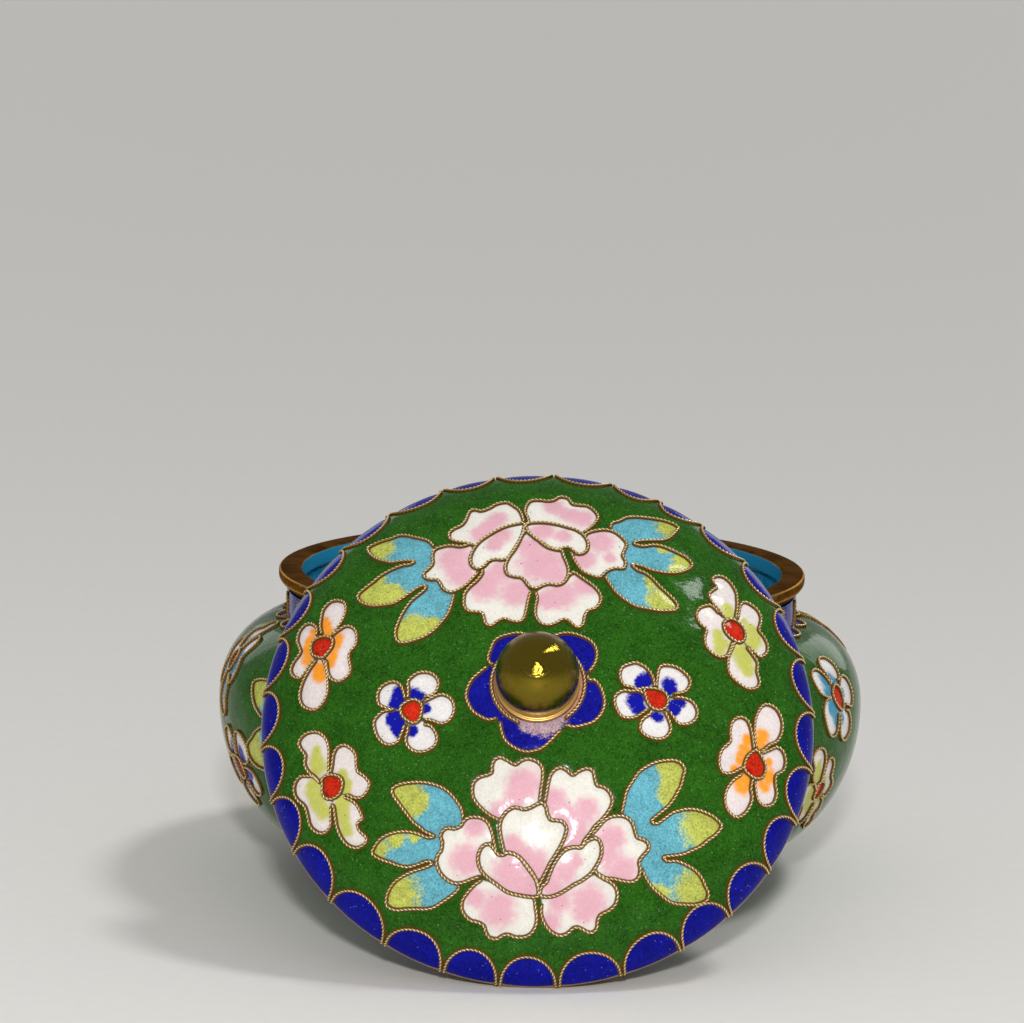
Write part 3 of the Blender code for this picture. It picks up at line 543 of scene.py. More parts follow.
class Wall:
    """The outside of a turned wall, measured along its line from the top outwards and down.

    Lengths are in millimetres. The line lies in the half plane of radius and height.
    """

    def __init__(self, line: np.ndarray, place: Matrix) -> None:
        """Measure a line.

        Args:
            line: Radius and height of each of its points.
            place: Matrix from the wall's own axes, in metres, to the frame.
        """
        self.line = line
        self.place = np.array(place)
        runs = np.hypot(*np.diff(line, axis=0).T)
        self.arcs = np.concatenate(([0.0], np.cumsum(runs)))
        slope = np.gradient(line, self.arcs, axis=0)
        self.normals = np.stack((-slope[:, 1], slope[:, 0]), axis=1)

    @property
    def length(self) -> float:
        """Return the whole length of the line."""
        return float(self.arcs[-1])

    def radius(self, arc: np.ndarray) -> np.ndarray:
        """Return the radius at each length along the line."""
        return np.interp(arc, self.arcs, self.line[:, 0])

    def section(self, rings: int) -> list[Point]:
        """Return evenly spaced points of the line.

        Args:
            rings: Pieces of the line between them.

        Returns:
            Radius and height of each point, both ends included.
        """
        arcs = np.linspace(0.0, self.length, rings + 1)
        heights = np.interp(arcs, self.arcs, self.line[:, 1])
        return list(zip(self.radius(arcs), heights))

    def points(self, arc: np.ndarray, turn: np.ndarray, lift: float) -> np.ndarray:
        """Return points that stand off the wall.

        Args:
            arc: Length along the wall of each.
            turn: Turn of each about the wall's axis.
            lift: How far they stand out of the wall, in millimetres.

        Returns:
            The points in the frame, in metres.
        """
        stand = [np.interp(arc, self.arcs, column) for column in self.normals.T]
        radius = (self.radius(arc) + lift * stand[0]) * MM
        height = (np.interp(arc, self.arcs, self.line[:, 1]) + lift * stand[1]) * MM
        ones = np.ones_like(height)
        local = np.stack((radius * np.cos(turn), radius * np.sin(turn), height, ones))
        return (self.place @ local)[:3].T

    def drawn_at(self, drawing: Drawing, points: np.ndarray) -> tuple[np.ndarray, np.ndarray]:
        """Lay points of a drawing on the wall.

        A drawing with no height is laid flat about the axis, as on a dome. One with a height runs
        round the wall, upright, at that height above the wall's lower end.

        Args:
            drawing: The drawing.
            points: Some of its points.

        Returns:
            Length along the wall and turn about its axis of each point.
        """
        x, y = ((points - drawing.middle) * drawing.scale).T
        if not drawing.height:
            return np.hypot(x, y), np.arctan2(y, x) + drawing.turn
        arc = self.length - drawing.height - y
        return arc, drawing.turn + x / self.radius(arc)

    def drawn_from(self, drawing: Drawing, arc: np.ndarray, turn: np.ndarray) -> np.ndarray:
        """Return which points of a drawing lie at places of the wall.

        Args:
            drawing: The drawing.
            arc: Length along the wall of each place.
            turn: Turn about the axis of each place.

        Returns:
            The points in the drawing.
        """
        beside = turn - drawing.turn
        if not drawing.height:
            flat = np.stack((arc * np.cos(beside), arc * np.sin(beside)), 1)
        else:
            beside = (beside + math.pi) % (2 * math.pi) - math.pi
            flat = np.stack((beside * self.radius(arc), self.length - drawing.height - arc), 1)
        return flat / drawing.scale + drawing.middle


def rounded(points: np.ndarray, closed: bool, steps: int = 10) -> np.ndarray:
    """Draw a smooth line through points.

    Args:
        points: The points, in the drawing.
        closed: Whether the line runs back to its first point.
        steps: Pieces of the line between two points.

    Returns:
        The points of the smooth line.
    """
    count = len(points)
    if closed:
        around = np.concatenate((points[-1:], points, points[:2]))
    else:
        before = 2 * points[0] - points[1]
        after = 2 * points[-1] - points[-2]
        around = np.concatenate((before[None], points, after[None]))
    spans = count if closed else count - 1
    share = (np.arange(steps) / steps)[None, :, None]
    first, start, end, last = (around[i:i + spans, None, :] for i in range(4))
    line = start + 0.5 * share * (end - first + share * (
        2 * first - 5 * start + 4 * end - last + share * (3 * (start - end) + last - first)))
    line = line.reshape(-1, points.shape[1])
    return line if closed else np.concatenate((line, points[-1:]))


def within(points: np.ndarray, outline: np.ndarray) -> np.ndarray:
    """Return which points of a drawing lie inside an outline.

    Args:
        points: The points.
        outline: Corners of the outline in their order.

    Returns:
        True for each point inside.
    """
    x, y = points.T
    found = np.zeros(len(points), dtype=bool)
    for (x_a, y_a), (x_b, y_b) in zip(outline, np.roll(outline, -1, axis=0)):
        if y_a == y_b:
            continue
        crossed = (y_a > y) != (y_b > y)
        found ^= crossed & (x < x_a + (y - y_a) * (x_b - x_a) / (y_b - y_a))
    return found


class EnamelSkin:
    """What fills each point of a wall while cells are laid over each other."""

    def __init__(self, wall: Wall, ground: Glaze, arc: np.ndarray, turn: np.ndarray) -> None:
        """Cover the wall with its ground.

        Args:
            wall: The wall that is enamelled.
            ground: The enamel between the cells.
            arc: Length along the wall of each point.
            turn: Turn of each point about the wall's axis.
        """
        self.wall = wall
        self.arc = arc
        self.turn = turn
        count = len(arc)
        self.tone = np.zeros((count, 4))
        self.second = np.zeros((count, 4))
        self.speck = np.zeros((count, 4))
        self.fill(np.arange(count), ground.value, np.zeros(count))

    def fill(self, chosen: np.ndarray, enamel: Enamel, spread: np.ndarray) -> None:
        """Fill chosen points.

        Args:
            chosen: Which points.
            enamel: What fills them.
            spread: The second colour's share at each, which shows above a half.
        """
        self.tone[chosen] = (*enamel.tone, 0.0)
        self.tone[chosen, 3] = spread
        self.second[chosen] = (*enamel.second, enamel.soften)
        self.speck[chosen] = (*enamel.speck_tone, enamel.specks)

    def lay(self, drawing: Drawing) -> None:
        """Fill the cells of a drawing in their order.

        Args:
            drawing: The drawing, whose patches fade from half their reach to one and a half.
        """
        flat = self.wall.drawn_from(drawing, self.arc, self.turn)
        for cell in drawing.cells:
            line = rounded(np.array(cell.line), not cell.hidden)
            if cell.hidden:
                line = np.concatenate((line, np.array(cell.hidden)))
            near = np.all((flat > line.min(axis=0)) & (flat < line.max(axis=0)), axis=1)
            chosen = np.flatnonzero(near)
            chosen = chosen[within(flat[chosen], line)]
            left = np.ones(len(chosen))
            for x, y, reach in cell.patches:
                away = np.hypot(*(flat[chosen] - (x, y)).T)
                left *= 1.0 - np.clip(PATCH_EDGE - away / reach, 0.0, 1.0)
            self.fill(chosen, cell.glaze.value, 1.0 - left)


@dataclass(frozen=True)
class Bend:
    """One bent wire: points along it, the way out of the wall at each, and whether it closes."""

    points: np.ndarray
    outward: np.ndarray
    closed: bool


@dataclass(frozen=True)
class TwistedWire:
    """Wire of two twisted strands, bent to the cells' outlines and set on edge in the enamel."""

    radius: float = 0.24
    waist: float = 0.42
    flank: float = 0.75
    lay: float = 1.15
    rings: int = 8
    lift: float = 0.06

    def bend(self, wall: Wall, drawing: Drawing, cell: Cell) -> Bend:
        """Bend the wire of one cell.

        Args:
            wall: The wall it stands on.
            drawing: The drawing that the cell is part of.
            cell: The cell whose outline it follows.

        Returns:
            The wire, with evenly spaced points.
        """
        closed = not cell.hidden
        place = wall.drawn_at(drawing, rounded(np.array(cell.line), closed))
        path = wall.points(*place, self.lift)
        outward = (path - wall.points(*place, 0.0)) / (self.lift * MM)
        even = self.spaced(np.hstack((path, outward)), closed)
        return Bend(even[:, :3], even[:, 3:], closed)

    def spaced(self, path: np.ndarray, closed: bool) -> np.ndarray:
        """Space a path evenly, with whole turns of the strands on a closed loop.

        Args:
            path: Points, whose first three columns are their places.
            closed: Whether it is a loop.

        Returns:
            The spaced points, with all their columns.
        """
        if closed:
            path = np.concatenate((path, path[:1]))
        reaches = np.linalg.norm(np.diff(path[:, :3], axis=0), axis=1)
        arcs = np.concatenate(([0.0], np.cumsum(reaches)))
        turns = arcs[-1] / (self.lay * MM)
        steps = max(1, round(turns)) * self.rings if closed else max(2, round(turns * self.rings))
        at = np.linspace(0.0, arcs[-1], steps + 1)
        even = np.stack([np.interp(at, arcs, column) for column in path.T], axis=1)
        return even[:-1] if closed else even

    def profile(self) -> bpy.types.Object:
        """Add the section of the two strands, with a waist between them.

        Returns:
            The section as a flat closed curve.
        """
        curve = bpy.data.curves.new("wire_section", "CURVE")
        curve.dimensions = "2D"
        spline = curve.splines.new("POLY")
        corners = (1.0, self.flank, self.waist, self.flank) * 2
        spline.points.add(len(corners) - 1)
        for index, (point, share) in enumerate(zip(spline.points, corners)):
            angle = 2 * math.pi * index / len(corners)
            reach = self.radius * MM * share
            point.co = (reach * math.cos(angle), reach * math.sin(angle), 0.0, 1.0)
        spline.use_cyclic_u = True
        piece = bpy.data.objects.new("wire_section", curve)
        bpy.context.collection.objects.link(piece)
        return piece

    def build(self, name: str, bends: list[Bend]) -> bpy.types.Object:
        """Sweep the twisted section along every bent wire and join them in one piece.

        Args:
            name: Name of the piece.
            bends: The bent wires.

        Returns:
            The mesh, which keeps how far the strands rise out of the wall as an attribute.
        """
        section = self.profile()
        curve = bpy.data.curves.new(name, "CURVE")
        curve.dimensions = "3D"
        curve.bevel_mode = "OBJECT"
        curve.bevel_object = section
        curve.use_fill_caps = True
        for bend in bends:
            count = len(bend.points)
            spline = curve.splines.new("POLY")
            spline.points.add(count - 1)
            spline.points.foreach_set("co", np.insert(bend.points, 3, 1.0, axis=1).ravel())
            spline.points.foreach_set("tilt", np.arange(count) * 2 * math.pi / self.rings)
            spline.use_cyclic_u = bend.closed
        piece = bpy.data.objects.new(name, curve)
        bpy.context.collection.objects.link(piece)
        choose(piece)
        bpy.ops.object.convert(target="MESH")
        bpy.ops.object.shade_smooth()
        bpy.data.objects.remove(section)
        points = np.concatenate([bend.points for bend in bends])
        outward = np.concatenate([bend.outward for bend in bends])
        middles = point_tree(points)
        corners = corners_of(piece)
        nearest = np.array([middles.find(corner)[1] for corner in corners])
        rise = ((corners - points[nearest]) * outward[nearest]).sum(axis=1)
        store(piece, "rise", rise / (self.radius * MM))
        return piece


def choose(piece: bpy.types.Object) -> None:
    """Select one object alone and make it active.

    Args:
        piece: The object.
    """
    for item in bpy.context.view_layer.objects:
        item.select_set(False)
    piece.select_set(True)
    bpy.context.view_layer.objects.active = piece


def point_tree(points: np.ndarray) -> KDTree:
    """Sort points for a search.

    Args:
        points: Many points.

    Returns:
        A tree that finds the nearest of them.
    """
    tree = KDTree(len(points))
    for index, point in enumerate(points):
        tree.insert(point, index)
    tree.balance()
    return tree


def corners_of(piece: bpy.types.Object) -> np.ndarray:
    """Return the places of a mesh's vertices.

    Args:
        piece: The object that has the mesh.

    Returns:
        Their places in metres, one in a row.
    """
    places = np.empty(len(piece.data.vertices) * 3)
    piece.data.vertices.foreach_get("co", places)
    return places.reshape(-1, 3)


def store(piece: bpy.types.Object, name: str, values: np.ndarray) -> None:
    """Keep a number or a colour for each vertex of a piece.

    Args:
        piece: The piece.
        name: Name of the layer.
        values: A number, or a colour of four numbers, for each vertex.
    """
    kind, field_name = ("FLOAT", "value") if values.ndim == 1 else ("FLOAT_COLOR", "color")
    layer = piece.data.attributes.new(name, kind, "POINT")
    layer.data.foreach_set(field_name, values.astype(np.float32).ravel())


def kept(piece: bpy.types.Object, name: str) -> np.ndarray:
    """Return the numbers kept for the vertices of a piece.

    Args:
        piece: The piece.
        name: Name of the layer.

    Returns:
        One number for each vertex.
    """
    values = np.empty(len(piece.data.vertices))
    piece.data.attributes[name].data.foreach_get("value", values)
    return values


def turned(name: str, section: list[Point], steps: int, place: Matrix) -> bpy.types.Object:
    """Turn a section about the local vertical axis, as on a lathe.

    Args:
        name: Name of the piece.
        section: Radius and height of its points in millimetres. It starts and ends on the axis,
            or ends where it started.
        steps: Faces round the axis.
        place: Matrix from the local axes to the frame.

    Returns:
        The closed piece in its place, with its length along the section kept as an attribute.
    """
    bpy.ops.object.select_all(action="DESELECT")
    bpy.ops.mesh.primitive_plane_add(size=MM)
    piece = bpy.context.object
    piece.name = name
    piece.data.name = name
    bpy.ops.object.mode_set(mode="EDIT")
    bpy.ops.mesh.merge(type="CENTER")
    points = [Vector((radius * MM, 0.0, height * MM)) for radius, height in section]
    bpy.ops.transform.translate(value=points[0])
    for start, end in zip(points, points[1:]):
        bpy.ops.mesh.extrude_region_move(TRANSFORM_OT_translate={"value": end - start})
    bpy.ops.mesh.select_all(action="SELECT")
    bpy.ops.mesh.spin(steps=steps, angle=2 * math.pi, center=(0, 0, 0), axis=(0, 0, 1))
    bpy.ops.mesh.select_all(action="SELECT")
    bpy.ops.mesh.remove_doubles(threshold=MERGE)
    bpy.ops.mesh.normals_make_consistent(inside=False)
    bpy.ops.object.mode_set(mode="OBJECT")
    corners = corners_of(piece) / MM
    reach = np.hypot(corners[:, 0], corners[:, 1])
    line = np.array(section)
    away = np.hypot(reach[:, None] - line[None, :, 0], corners[:, 2, None] - line[None, :, 1])
    lengths = np.concatenate(([0.0], np.cumsum(np.hypot(*np.diff(line, axis=0).T))))
    store(piece, "along", lengths[np.argmin(away, axis=1)])
    piece.matrix_world = place
    choose(piece)
    bpy.ops.object.transform_apply(location=True, rotation=True, scale=True)
    bpy.ops.object.shade_smooth_by_angle(angle=SMOOTH_ANGLE)
    return piece


class Signal:
    """A value or colour inside a material, whose arithmetic adds Math nodes."""

    def __init__(self, paint: "Paint", socket: bpy.types.NodeSocket) -> None:
        """Wrap a node's output."""
        self.paint = paint
        self.socket = socket

    def _math(self, operation: str, first: "Source", second: "Source") -> "Signal":
        """Add one Math node."""
        return self.paint.add("ShaderNodeMath", {"operation": operation}, {0: first, 1: second})

    def __add__(self, other: "Source") -> "Signal":
        """Return the sum."""
        return self._math("ADD", self, other)

    def __radd__(self, other: float) -> "Signal":
        """Return the sum with a number in front."""
        return self._math("ADD", other, self)

    def __sub__(self, other: "Source") -> "Signal":
        """Return the difference."""
        return self._math("SUBTRACT", self, other)

    def __rsub__(self, other: float) -> "Signal":
        """Return a number less this value."""
        return self._math("SUBTRACT", other, self)

    def __mul__(self, other: "Source") -> "Signal":
        """Return the product."""
        return self._math("MULTIPLY", self, other)

    def __lt__(self, other: "Source") -> "Signal":
        """Return one where this value is the smaller."""
        return self._math("LESS_THAN", self, other)

    def beside(self, output: str) -> "Signal":
        """Return another output of the same node."""
        return Signal(self.paint, self.socket.node.outputs[output])


Source = Signal | float | tuple


class Paint:
    """The node tree of one material and the sockets of its shader."""

    def __init__(self, name: str) -> None:
        """Start a material with a plain shader.

        Args:
            name: Name of the material.
        """
        self.material = bpy.data.materials.new(name)
        self.material.use_nodes = True
        self.tree = self.material.node_tree
        self.shader = self.tree.nodes["Principled BSDF"]

    def add(self, kind: str, settings: dict[str, object], sockets: dict[int | str, Source],
            output: int | str = 0) -> Signal:
        """Add a node.

        Args:
            kind: Its type.
            settings: Its own settings, set before its sockets.
            sockets: Values or links of its inputs.
            output: Which output is wanted.

        Returns:
            That output.
        """
        node = self.tree.nodes.new(kind)
        for name, value in settings.items():
            setattr(node, name, value)
        for name, value in sockets.items():
            self.feed(node.inputs[name], value)
        return Signal(self, node.outputs[output])

    def feed(self, socket: bpy.types.NodeSocket, value: Source) -> None:
        """Link or set one input.

        Args:
            socket: The input.
            value: A signal to link, or a fixed value.
        """
        if isinstance(value, Signal):
            self.tree.links.new(value.socket, socket)
        else:
            socket.default_value = value

    def finish(self, sockets: dict[str, Source]) -> bpy.types.Material:
        """Feed the shader's inputs.

        Args:
            sockets: Values or links by the names of the inputs.

        Returns:
            The finished material.
        """
        for name, value in sockets.items():
            self.feed(self.shader.inputs[name], value)
        return self.material

    def kept(self, name: str, output: str = "Fac") -> Signal:
        """Return what a piece keeps at its vertices."""
        return self.add("ShaderNodeAttribute", {"attribute_name": name}, {}, output)

    def millimetres(self) -> Signal:
        """Return the place on the object in millimetres."""
        place = self.add("ShaderNodeTexCoord", {}, {}, "Object")
        return self.scaled(place, 1 / MM)

    def scaled(self, vector: Signal, share: Source) -> Signal:
        """Return a vector or colour times a value."""
        return self.add("ShaderNodeVectorMath", {"operation": "SCALE"}, {0: vector, "Scale": share})

    def noise(self, place: Signal, scale: float, detail: float) -> Signal:
        """Return clouds between zero and one, with a scale in waves per millimetre."""
        sockets = {"Vector": place, "Scale": scale, "Detail": detail}
        return self.add("ShaderNodeTexNoise", {}, sockets)

    def lathe_lines(self, scale: float, detail: float) -> Signal:
        """Return fine lines across the length that a turned piece keeps along its section."""
        sockets = {"W": self.kept("along"), "Scale": scale, "Detail": detail}
        return self.add("ShaderNodeTexNoise", {"noise_dimensions": "1D"}, sockets)

    def warped(self, place: Signal, scale: float, reach: float) -> Signal:
        """Push a place about by clouds.

        Args:
            place: Place in millimetres.
            scale: Waves of the clouds along a millimetre.
            reach: How far they push, in millimetres.

        Returns:
            The pushed place.
        """
        clouds = self.noise(place, scale, 2.0).beside("Color")
        push = self.scaled(clouds, reach)
        return self.add("ShaderNodeVectorMath", {"operation": "ADD"}, {0: place, 1: push})

    def smooth(self, value: Source, low: Source, high: Source) -> Signal:
        """Return a soft step from zero at low to one at high."""
        sockets = {"Value": value, "From Min": low, "From Max": high}
        return self.add("ShaderNodeMapRange", {"interpolation_type": "SMOOTHSTEP"}, sockets)

    def blend(self, share: Source, under: Source, over: Source) -> Signal:
        """Return one colour laid over another."""
        settings = {"data_type": "RGBA"}
        return self.add("ShaderNodeMix", settings, {0: share, 6: under, 7: over}, 2)

    def dots(self, place: Signal, scale: float, size: float, share: Source) -> Signal:
        """Return scattered round dots.

        Args:
            place: Place in millimetres.
            scale: Cells for dots along a millimetre.
            size: Radius of a dot, as a share of its cell.
            share: How many of the cells have a dot.

        Returns:
            One on the dots and zero between them.
        """
        away = self.add("ShaderNodeTexVoronoi", {}, {"Vector": place, "Scale": scale})
        drawn = self.add("ShaderNodeSeparateColor", {}, {0: away.beside("Color")})
        return (1.0 - self.smooth(away, size * 0.5, size)) * (drawn < share)

    def bump(self, height: Signal) -> Signal:
        """Return the normal of a surface raised by a height in millimetres."""
        return self.add("ShaderNodeBump", {}, {"Height": height, "Distance": MM})


def solid(colour: Colour) -> tuple[float, float, float, float]:
    """Return a colour with full cover."""
    return (*colour, 1.0)


@dataclass(frozen=True)
class FiredEnamel:
    """Glossy enamel over copper: cloudy, finely pitted, and darkened brown along the wires, partly
    oxide and partly painted shade.
    """

    # Dark brown laid beside the wires: partly oxide, partly painted shade.
    oxide_and_shade: Colour = shade(104, 68, 24)
    pinhole: Colour = shade(176, 200, 168)
    edge: Colour = shade(206, 168, 100)
    oxide_and_shade_start: float = 0.26
    oxide_and_shade_end: float = 0.38
    oxide_and_shade_cover: float = 0.92
    roughness: float = 0.09
    shine: float = 0.08
    cloud_scale: float = 0.28
    mottle_scale: float = 1.3
    grain_scale: float = 4.0
    wave_scale: float = 0.5
    speck_scale: float = 1.7
    speck_size: float = 0.24
    speck_cover: float = 0.75
    pinhole_scale: float = 2.4
    pinhole_size: float = 0.2
    pinhole_share: float = 0.16
    pinhole_cover: float = 0.5

    def material(self, name: str) -> bpy.types.Material:
        """Mix the material.

        Args:
            name: Name of the material.

        Returns:
            The material, which reads the fillings kept at the vertices.
        """
        paint = Paint(name)
        place = paint.millimetres()
        clouds = paint.noise(place, self.cloud_scale, 4.0)
        mottle = paint.noise(place, self.mottle_scale, 3.0)
        grain = paint.noise(place, self.grain_scale, 2.0)
        soften = paint.kept("second", "Alpha")
        powder = (mottle - 0.5) * (0.4 + soften * 1.6) + (grain - 0.5) * (0.25 + soften * 1.6)
        laid = paint.kept("tone", "Alpha")
        spread = laid + powder * paint.smooth(laid, 0.0, 0.3)
        share = paint.smooth(spread, 0.5 - soften, 0.5 + soften)
        colour = paint.blend(share, paint.kept("tone", "Color"), paint.kept("second", "Color"))
        clear = 1.0 - paint.kept("tone", "Fac")
        depth = (clouds - 0.5) * 0.9 + (mottle - 0.5) * 0.9 + (grain - 0.5) * 2.2
        colour = paint.scaled(colour, 0.95 + depth * clear)
        specks = paint.dots(paint.warped(place, 1.6, 0.5), self.speck_scale, self.speck_size,
                            paint.kept("speck", "Alpha") * 0.3)
        colour = paint.blend(specks * self.speck_cover, colour, paint.kept("speck", "Color"))
        pinholes = paint.dots(place, self.pinhole_scale, self.pinhole_size, self.pinhole_share)
        colour = paint.blend(pinholes * self.pinhole_cover, colour, solid(self.pinhole))
        # Dark brown beside the wires: partly oxide, partly painted shade where the wires shade the
        # enamel.
        gap = paint.kept("gap") + (grain - 0.5) * 0.1
        oxide_and_shade_share = 1.0 - paint.smooth(gap, self.oxide_and_shade_start, self.oxide_and_shade_end)
        colour = paint.blend(oxide_and_shade_share * self.oxide_and_shade_cover, colour, solid(self.oxide_and_shade))
        bare = paint.kept("bare")
        colour = paint.blend(bare, colour, solid(self.edge))
        swell = paint.noise(place, self.wave_scale, 2.0)
        waves = swell * 0.06 + mottle * 0.014 - pinholes * 0.02
        return paint.finish({
            "Base Color": colour,
            "Metallic": bare,
            "Roughness": self.roughness + mottle * 0.06 + oxide_and_shade_share * 0.25 + bare * 0.2,
            "Specular IOR Level": self.shine,
            "Normal": paint.bump(waves),
        })


@dataclass(frozen=True)
class GiltWire:
    """Twisted wire, bright where a strand comes up, and brown lower down and between the strands:
    dirt and painted shade.
    """

    top: Colour = shade(255, 246, 200)
    dull: Colour = shade(250, 226, 158)
    dirt_and_shade: Colour = shade(134, 96, 34)
    dark_below_rise: float = 0.42
    bright_above_rise: float = 0.82
    wear_scale: float = 0.35
    grain_scale: float = 6.0

    def material(self, name: str) -> bpy.types.Material:
        """Mix the material.

        Args:
            name: Name of the material.

        Returns:
            The material, which reads the rise kept at the vertices.
        """
        paint = Paint(name)
        place = paint.millimetres()
        # Low on the strands and between them the colour turns brown: dirt, and painted shade where
        # the strands shade each other.
        dirt_and_shade_share = 1.0 - paint.smooth(paint.kept("rise"), self.dark_below_rise, self.bright_above_rise)
        wear = paint.smooth(paint.noise(place, self.wear_scale, 3.0), 0.35, 0.65)
        grain = paint.noise(place, self.grain_scale, 2.0)
        colour = paint.blend(wear, solid(self.dull), solid(self.top))
        colour = paint.blend(dirt_and_shade_share, colour, solid(self.dirt_and_shade))
        return paint.finish({
            "Base Color": colour,
            "Metallic": 0.3 - dirt_and_shade_share * 0.2,
            "Roughness": 0.2 + dirt_and_shade_share * 0.3 + grain * 0.12,
            "Normal": paint.bump(grain * 0.02),
        })


@dataclass(frozen=True)
class TurnedCopper:
    """Bare copper, darkened brown and worn bright at its lip, with fine lines from the lathe."""

    worn: Colour = shade(216, 176, 124)
    brown: Colour = shade(122, 86, 50)
    dark: Colour = shade(76, 49, 25)
    grazed: tuple[float, float, float, float] = (0.55, 0.41, 0.26, 1.0)
    lining: Colour = shade(40, 140, 180)
    lip: float = 39.1
    lip_width: float = 0.35
    line_scale: float = 9.0
    patch_scale: float = 0.22
    stain_scale: float = 1.6

    def material(self, name: str) -> bpy.types.Material:
        """Mix the material.

        Args:
            name: Name of the material.

        Returns:
            The material, which reads the lengths and radii kept at the vertices.
        """
        paint = Paint(name)
        place = paint.millimetres()
        lines = paint.lathe_lines(self.line_scale, 3.0)
        patches = paint.noise(place, self.patch_scale, 5.0)
        stains = paint.noise(place, self.stain_scale, 4.0)
        reach = paint.kept("reach") + (stains - 0.5) * 0.2
        lip = paint.smooth(reach, self.lip - self.lip_width, self.lip - self.lip_width / 2)
        lip = lip * (1.0 - paint.smooth(reach, self.lip - self.lip_width / 3, self.lip))
        share = paint.smooth(patches + (stains - 0.5) * 0.3, 0.34, 0.62)
        colour = paint.blend(share, solid(self.dark), solid(self.brown))
        colour = paint.blend(lip * 0.8, colour, solid(self.worn))
        colour = paint.scaled(colour, 0.88 + lines * 0.24)
        lined = paint.kept("lined")
        return paint.finish({
            "Base Color": paint.blend(lined, colour, solid(self.lining)),
            "Metallic": 1.0 - lined,
            "Specular Tint": self.grazed,
            "Roughness": 0.4 - lip * 0.12 + (stains - 0.5) * 0.2 - lined * 0.25,
            "Normal": paint.bump(lines * 0.006 + stains * 0.01),
        })


@dataclass(frozen=True)
class PolishedBrass:
    """Polished brass with faint turning lines, fingermarks and dark stains."""

    bright: Colour = shade(124, 108, 34)
    dull: Colour = shade(100, 82, 24)
    depth: float = 0.016
    roughness: float = 0.02
    line_scale: float = 14.0
    mark_scale: float = 0.5
    stain_scale: float = 1.4

    def material(self, name: str) -> bpy.types.Material:
        """Mix the material.

        Args:
            name: Name of the material.

        Returns:
            The material, which reads the lengths kept at the vertices.
        """
        paint = Paint(name)
        place = paint.millimetres()
        lines = paint.lathe_lines(self.line_scale, 2.0)
        marks = paint.noise(place, self.mark_scale, 4.0)
        stains = paint.smooth(paint.noise(place, self.stain_scale, 3.0), 0.55, 0.75)
        colour = paint.blend(stains * 0.5, solid(self.bright), solid(self.dull))
        return paint.finish({
            "Base Color": colour,
            "Metallic": 1.0,
            "Roughness": self.roughness + marks * 0.04 + stains * 0.03,
            "Normal": paint.bump(lines * self.depth),
        })


@dataclass(frozen=True)
class PaleGround:
    """A plain pale floor with the faintest grain."""

    light: Colour = shade(242, 240, 236)
    shaded: Colour = shade(236, 234, 230)
    grain_scale: float = 0.4
    roughness: float = 0.62

    def material(self, name: str) -> bpy.types.Material:
        """Mix the material.

        Args:
            name: Name of the material.

        Returns:
            The material.
        """
        paint = Paint(name)
        grain = paint.noise(paint.millimetres(), self.grain_scale, 4.0)
        return paint.finish({
            "Base Color": paint.blend(grain, solid(self.shaded), solid(self.light)),
            "Roughness": self.roughness,
        })


def eased(section: list[Point], radius: float, steps: int = 3) -> list[Point]:
    """Round the corners of a section.

    Args:
        section: Its points, whose first and last stay as they are.
        radius: How far from a corner its rounding starts, in millimetres.
        steps: Pieces of each rounding.

    Returns:
        The points of the softened section.
    """
    line = [Vector(point) for point in section]
    found = [line[0]]
    for before, corner, after in zip(line, line[1:], line[2:]):
        start = corner + (before - corner).normalized() * min(radius, (before - corner).length / 2)
        end = corner + (after - corner).normalized() * min(radius, (after - corner).length / 2)
        for step in range(steps + 1):
            share = step / steps
            found.append(start.lerp(corner, share).lerp(corner.lerp(end, share), share))
    found.append(line[-1])
    return [tuple(point) for point in found]


def dress(piece: bpy.types.Object, material: bpy.types.Material, node: str = "") -> None:
    """Give a piece its material and its body.

    Args:
        piece: The piece.
        material: Its material.
        node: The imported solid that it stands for, if any.
    """
    piece.data.materials.clear()
    piece.data.materials.append(material)
    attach(piece, BODY)
    if node:
        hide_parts(node)
    log.info("%s: %d faces", piece.name, len(piece.data.polygons))


def local_corners(piece: bpy.types.Object, place: Matrix) -> np.ndarray:
    """Return the places of a mesh's vertices in the lathe's axes, in millimetres."""
    back = np.array(place.inverted())
    return (corners_of(piece) @ back[:3, :3].T + back[:3, 3]) / MM


def dress_copper(piece: bpy.types.Object, place: Matrix, copper: TurnedCopper, node: str,
                 lined: Point = (0.0, 0.0)) -> None:
    """Dress a copper ring.

    Args:
        piece: The ring.
        place: Matrix from the lathe's axes to the frame.
        copper: Its finish.
        node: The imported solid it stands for.
        lined: Radius and height below which the lining's enamel covers it.
    """
    local = local_corners(piece, place)
    reach = np.hypot(local[:, 0], local[:, 1])
    store(piece, "reach", reach)
    store(piece, "lined", ((reach < lined[0]) & (local[:, 2] < lined[1])).astype(float))
    dress(piece, copper.material(f"copper_{piece.name}"), node)


